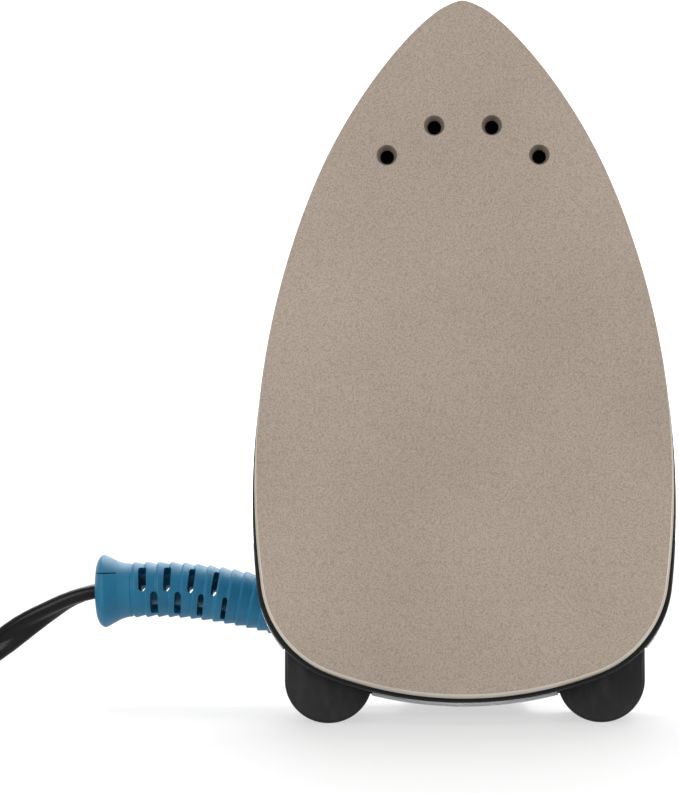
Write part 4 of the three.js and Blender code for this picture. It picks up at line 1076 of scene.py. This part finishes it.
def make_dial():
    """A fluted knob with a raised pointer."""
    radius, low, top, socket = DIAL.radius, DIAL.bottom, DIAL.top, DIAL.socket
    # Each level: its radius, its height, and how strongly the flutes cut into it.
    profile = [(0.01, socket, 0), (DIAL.stem, socket, 0), (DIAL.stem, low, 0)]
    profile += [(radius - 0.3, low, 0), (radius, low + 0.3, 0), (radius, low + 1.2, 0)]
    profile += [(radius - 0.1, low + 1.6, 1), (radius - 0.25, top - 1.4, 1)]
    profile += [(radius - 0.55, top - 0.7, 0.8), (radius - 1.1, top - 0.2, 0.35)]
    profile += [(radius - 1.9, top, 0), (radius - 4, top - 0.25, 0), (0.01, top - 0.45, 0)]
    rings = []
    for size, height, fluted in profile:
        ring = []
        for turn in full_turn(DIAL.flutes * 8):
            wave = 0.5 + 0.5 * cos(DIAL.flutes * turn)
            reach = size - DIAL.flute_depth * fluted * wave ** 2
            ring.append(Vector((reach * cos(turn), height, DIAL.z + reach * sin(turn))))
        rings.append(ring)
    dial = loft("dial", rings)
    pointer = []
    for y, shrink in ((top - 1.5, 0), (top + 0.6, 0), (top + 0.9, 0.35)):
        half = POINTER.half_width - shrink
        ring = []
        for turn in full_turn(24):
            end = POINTER.to_z if sin(turn) > 0 else POINTER.from_z
            ring.append(Vector((half * cos(turn), y, end + half * sin(turn))))
        pointer.append(ring)
    boolean(dial, [loft("tool", pointer)], "UNION")
    set_materials(dial, "accent_blue", "white_plastic")
    to_iron = IRON.inverted()
    for face in dial.data.polygons:
        face.material_index = int((to_iron @ face.center).y > top + 0.3)
    finish_piece(shade(dial, 38), "temperature_knob", "accent_blue", "dial", "temperature_dial")


def make_bezel():
    """The ring round the dial, with marks that grow as the dial gets hotter."""
    low, radius = BEZEL.bottom, DIAL.radius
    section = [(radius + 0.6, low), (radius + 3.6, low), (radius + 3.5, low + 0.35)]
    section += [(radius + 3.0, low + 1.0), (radius + 2.6, low + 1.25), (radius + 1.0, low + 1.3)]
    section.append((radius + 0.6, low + 1.1))
    bezel = turned("bezel", section, (0, 0, DIAL.z), (0, 1, 0), IRON, 120, hollow=True)
    finish_piece(shade(bezel, 38), "dial_ring", "white_plastic", "iron", "dial_bezel")
    middle = Vector((0, low + 1.2, DIAL.z))
    for index in range(BEZEL.marks):
        turn = radians(150 - index * 50)
        size = 0.35 + 0.07 * index
        spot = BEZEL.mark_radius * Vector((sin(turn), 0, cos(turn))) + middle
        profile = [(size, 0), (size, 0.16), (size - 0.12, 0.24), (0.01, 0.26)]
        mark = turned("mark", profile, spot, (0, 1, 0), IRON, 20)
        finish_piece(shade(mark, 40), f"dial_mark_{index + 1}", "housing_black", "iron")


def make_drum():
    """The swivel's drum, between its two spigots, with the bore that the guard's neck sits in."""
    radius, low, top, soft = DRUM.radius, DRUM.bottom, DRUM.top, DRUM.rounding
    flat = radius - soft
    corner = quarter_turn(5)
    profile = [(4.0, low - 2.5), (4.0, low)]
    profile += [(flat + soft * sin(t), low + soft - soft * cos(t)) for t in corner]
    profile += [(flat + soft * cos(t), top - soft + soft * sin(t)) for t in corner]
    profile += [(5.0, top), (5.0, top + 3)]
    drum = turned("drum", profile, (0, DRUM.y, 0), (0, 0, 1), STANDING, 96)
    middle = (low + top) / 2
    way_in = [(SIDE_BORE, 0), (SIDE_BORE, 21.1)]
    side = turned("tool", way_in, (-radius - 2, DRUM.y, middle), (1, 0, 0), STANDING)
    boolean(drum, [side, rod_standing(0, DRUM.y, 2.8, middle, top + 5)])
    finish_piece(shade(drum, 38), "cord_swivel", "housing_black", "swivel", "swivel_drum")


def plug_ring(half, half_height, x, power):
    section = squarish(half, half_height, power, 40)
    return [Vector((x, PLUG.y + across, PLUG.z + height)) for across, height in section]


def ripple(x, pitch, height):
    """Rounded ridges along the plug, at that pitch."""
    return height * max(0.0, cos(2 * pi * (x - PLUG.rear) / pitch))


def make_plug():
    """A moulded two-pin plug with finger grooves and a ribbed relief."""
    rings = []
    rear, front = PLUG.rear, PLUG.front
    neck, neck_height = PLUG.neck, PLUG.neck_height
    for i in range(33):
        share = i / 32
        x = rear - RELIEF.length * (1 - share)
        reach = RELIEF.widens * share + ripple(x, RELIEF.pitch, RELIEF.ridge)
        rings.append(plug_ring(RELIEF.half + reach, RELIEF.half_height + reach, x, 0.85))
    for i in range(49):
        share = i / 48
        x = rear + 0.25 + (front - rear - 0.25) * share
        swell = min(1.0, share / 0.42)
        swell = swell * swell * (3 - 2 * swell)
        grooved = FINGER_GROOVES.start < share < FINGER_GROOVES.end
        groove = ripple(x, FINGER_GROOVES.pitch, FINGER_GROOVES.depth) if grooved else 0.0
        end = max(0.0, (x - front + 1.2) / 1.2)
        trim = 0.9 * (1 - sqrt(max(0.0, 1 - end * end)))
        wide = neck + (PLUG.half - neck) * swell - trim - groove
        tall = neck_height + (PLUG.half_height - neck_height) * swell - trim * 0.8 - groove * 0.5
        rings.append(plug_ring(wide, tall, x, 0.42 + 0.4 * (1 - swell)))
    plug = loft("plug", rings, STANDING)
    slots = []
    for y in (PLUG.y - PLUG.pin, PLUG.y + PLUG.pin):
        z = PLUG.z
        slots.append(box_standing(front - 6.3, front + 1, y - 1.05, y + 1.05, z - 3.48, z + 3.48))
    boolean(plug, slots)
    return finish_piece(shade(plug, 38), "mains_plug", "cord_black", "swivel", "plug_body")


def make_tie():
    """A flat strap bent over the coil and down on both sides."""
    inner, outer, high = TIE.inner, TIE.outer, TIE.height
    crown = high + 0.15
    path = [(inner, 0.3), (inner, 2.5), (inner, 5.0), (inner + 0.2, high - 1.2), (inner + 1.4, high)]
    path += [(inner + 3, crown), (inner + 8, crown), (outer - 8, crown), (outer - 3, crown)]
    path += [(outer - 1.4, high), (outer - 0.2, high - 1.2), (outer, 5.0), (outer, 2.5), (outer, 0.3)]
    line = smooth_path([(r, 0, z) for r, z in path], 90)
    turn = Matrix.Translation((COIL.x, COIL.y, 0)) @ Matrix.Rotation(TIE.angle, 4, "Z")
    section = [(-1, 0.1), (-0.94, 0), (0.94, 0), (1, 0.1), (1, 0.9), (0.94, 1), (-0.94, 1), (-1, 0.9)]
    rings = []
    for i, point in enumerate(line):
        along = direction(line, i)
        out = Vector((-along.z, 0, along.x)) * TIE.strap
        wide = Vector((0, TIE.width / 2, 0))
        rings.append([point + wide * across + out * lift for across, lift in section])
    tie = shade(loft("tie", rings, STANDING @ turn), 35)
    return finish_piece(tie, "coil_strap", "grip_black", "swivel", "coil_tie")


PUMP_SPRING = Sizes(z=92.0, bottom=88.4, top=93.9, radius=3.6, wire=0.4, turns=2.5,
                    steps=60)


def make_pump_spring():
    """The pump's spring at the burst button, as a coil of wire."""
    size = PUMP_SPRING
    start = size.bottom + size.wire
    climb = size.top - size.wire - start
    upward = Vector((0, 1, 0))
    rings = []
    for i in range(size.steps + 1):
        share = i / size.steps
        turn = 2 * pi * size.turns * share
        out = Vector((cos(turn), 0, sin(turn)))
        centre = Vector((0, start + climb * share, size.z)) + out * size.radius
        rings.append(circle(centre, out, upward, size.wire, 10))
    spring = shade(loft("pump_spring_coil", rings), 60)
    finish_piece(spring, "pump_spring_coil", "steel", "iron", "pump_spring")
    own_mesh(spring)


def soften_cad(names, width):
    """Small rounded edges on CAD pieces whose shape is right."""
    for name in names:
        modifier = NODES[name].modifiers.new("bevel", "BEVEL")
        modifier.width = width * MM
        modifier.segments = 3
        modifier.limit_method = "ANGLE"
        modifier.angle_limit = radians(35)


# ---- everything is made here
add_camera()
add_lights()
add_floor()
PLUG_PIECE = make_plug()
TIE_PIECE = make_tie()
CORD_OBJECT, CORD_PATH, CORD_LENGTH = make_cord()
finish_piece(CORD_OBJECT, "mains_cord", "cord_black", "swivel", "power_cord", "cord_coil", "cord_tail")
GUARD_PIECE = make_guard()
make_sole()
make_skirt()
make_tank()
make_lid()
make_upper_body()
make_dial()
make_bezel()
make_drum()
make_pump_spring()
soften_cad(["steam_selector", "burst_button"], 0.45)
soften_cad(["fill_door", "plug_blade_left", "plug_blade_right"], 0.3)
for subpart in frame["record"]["subparts"]:
    node = NODES[subpart["node"]]
    if not node.hide_render:
        set_materials(node, subpart["material_slot"])
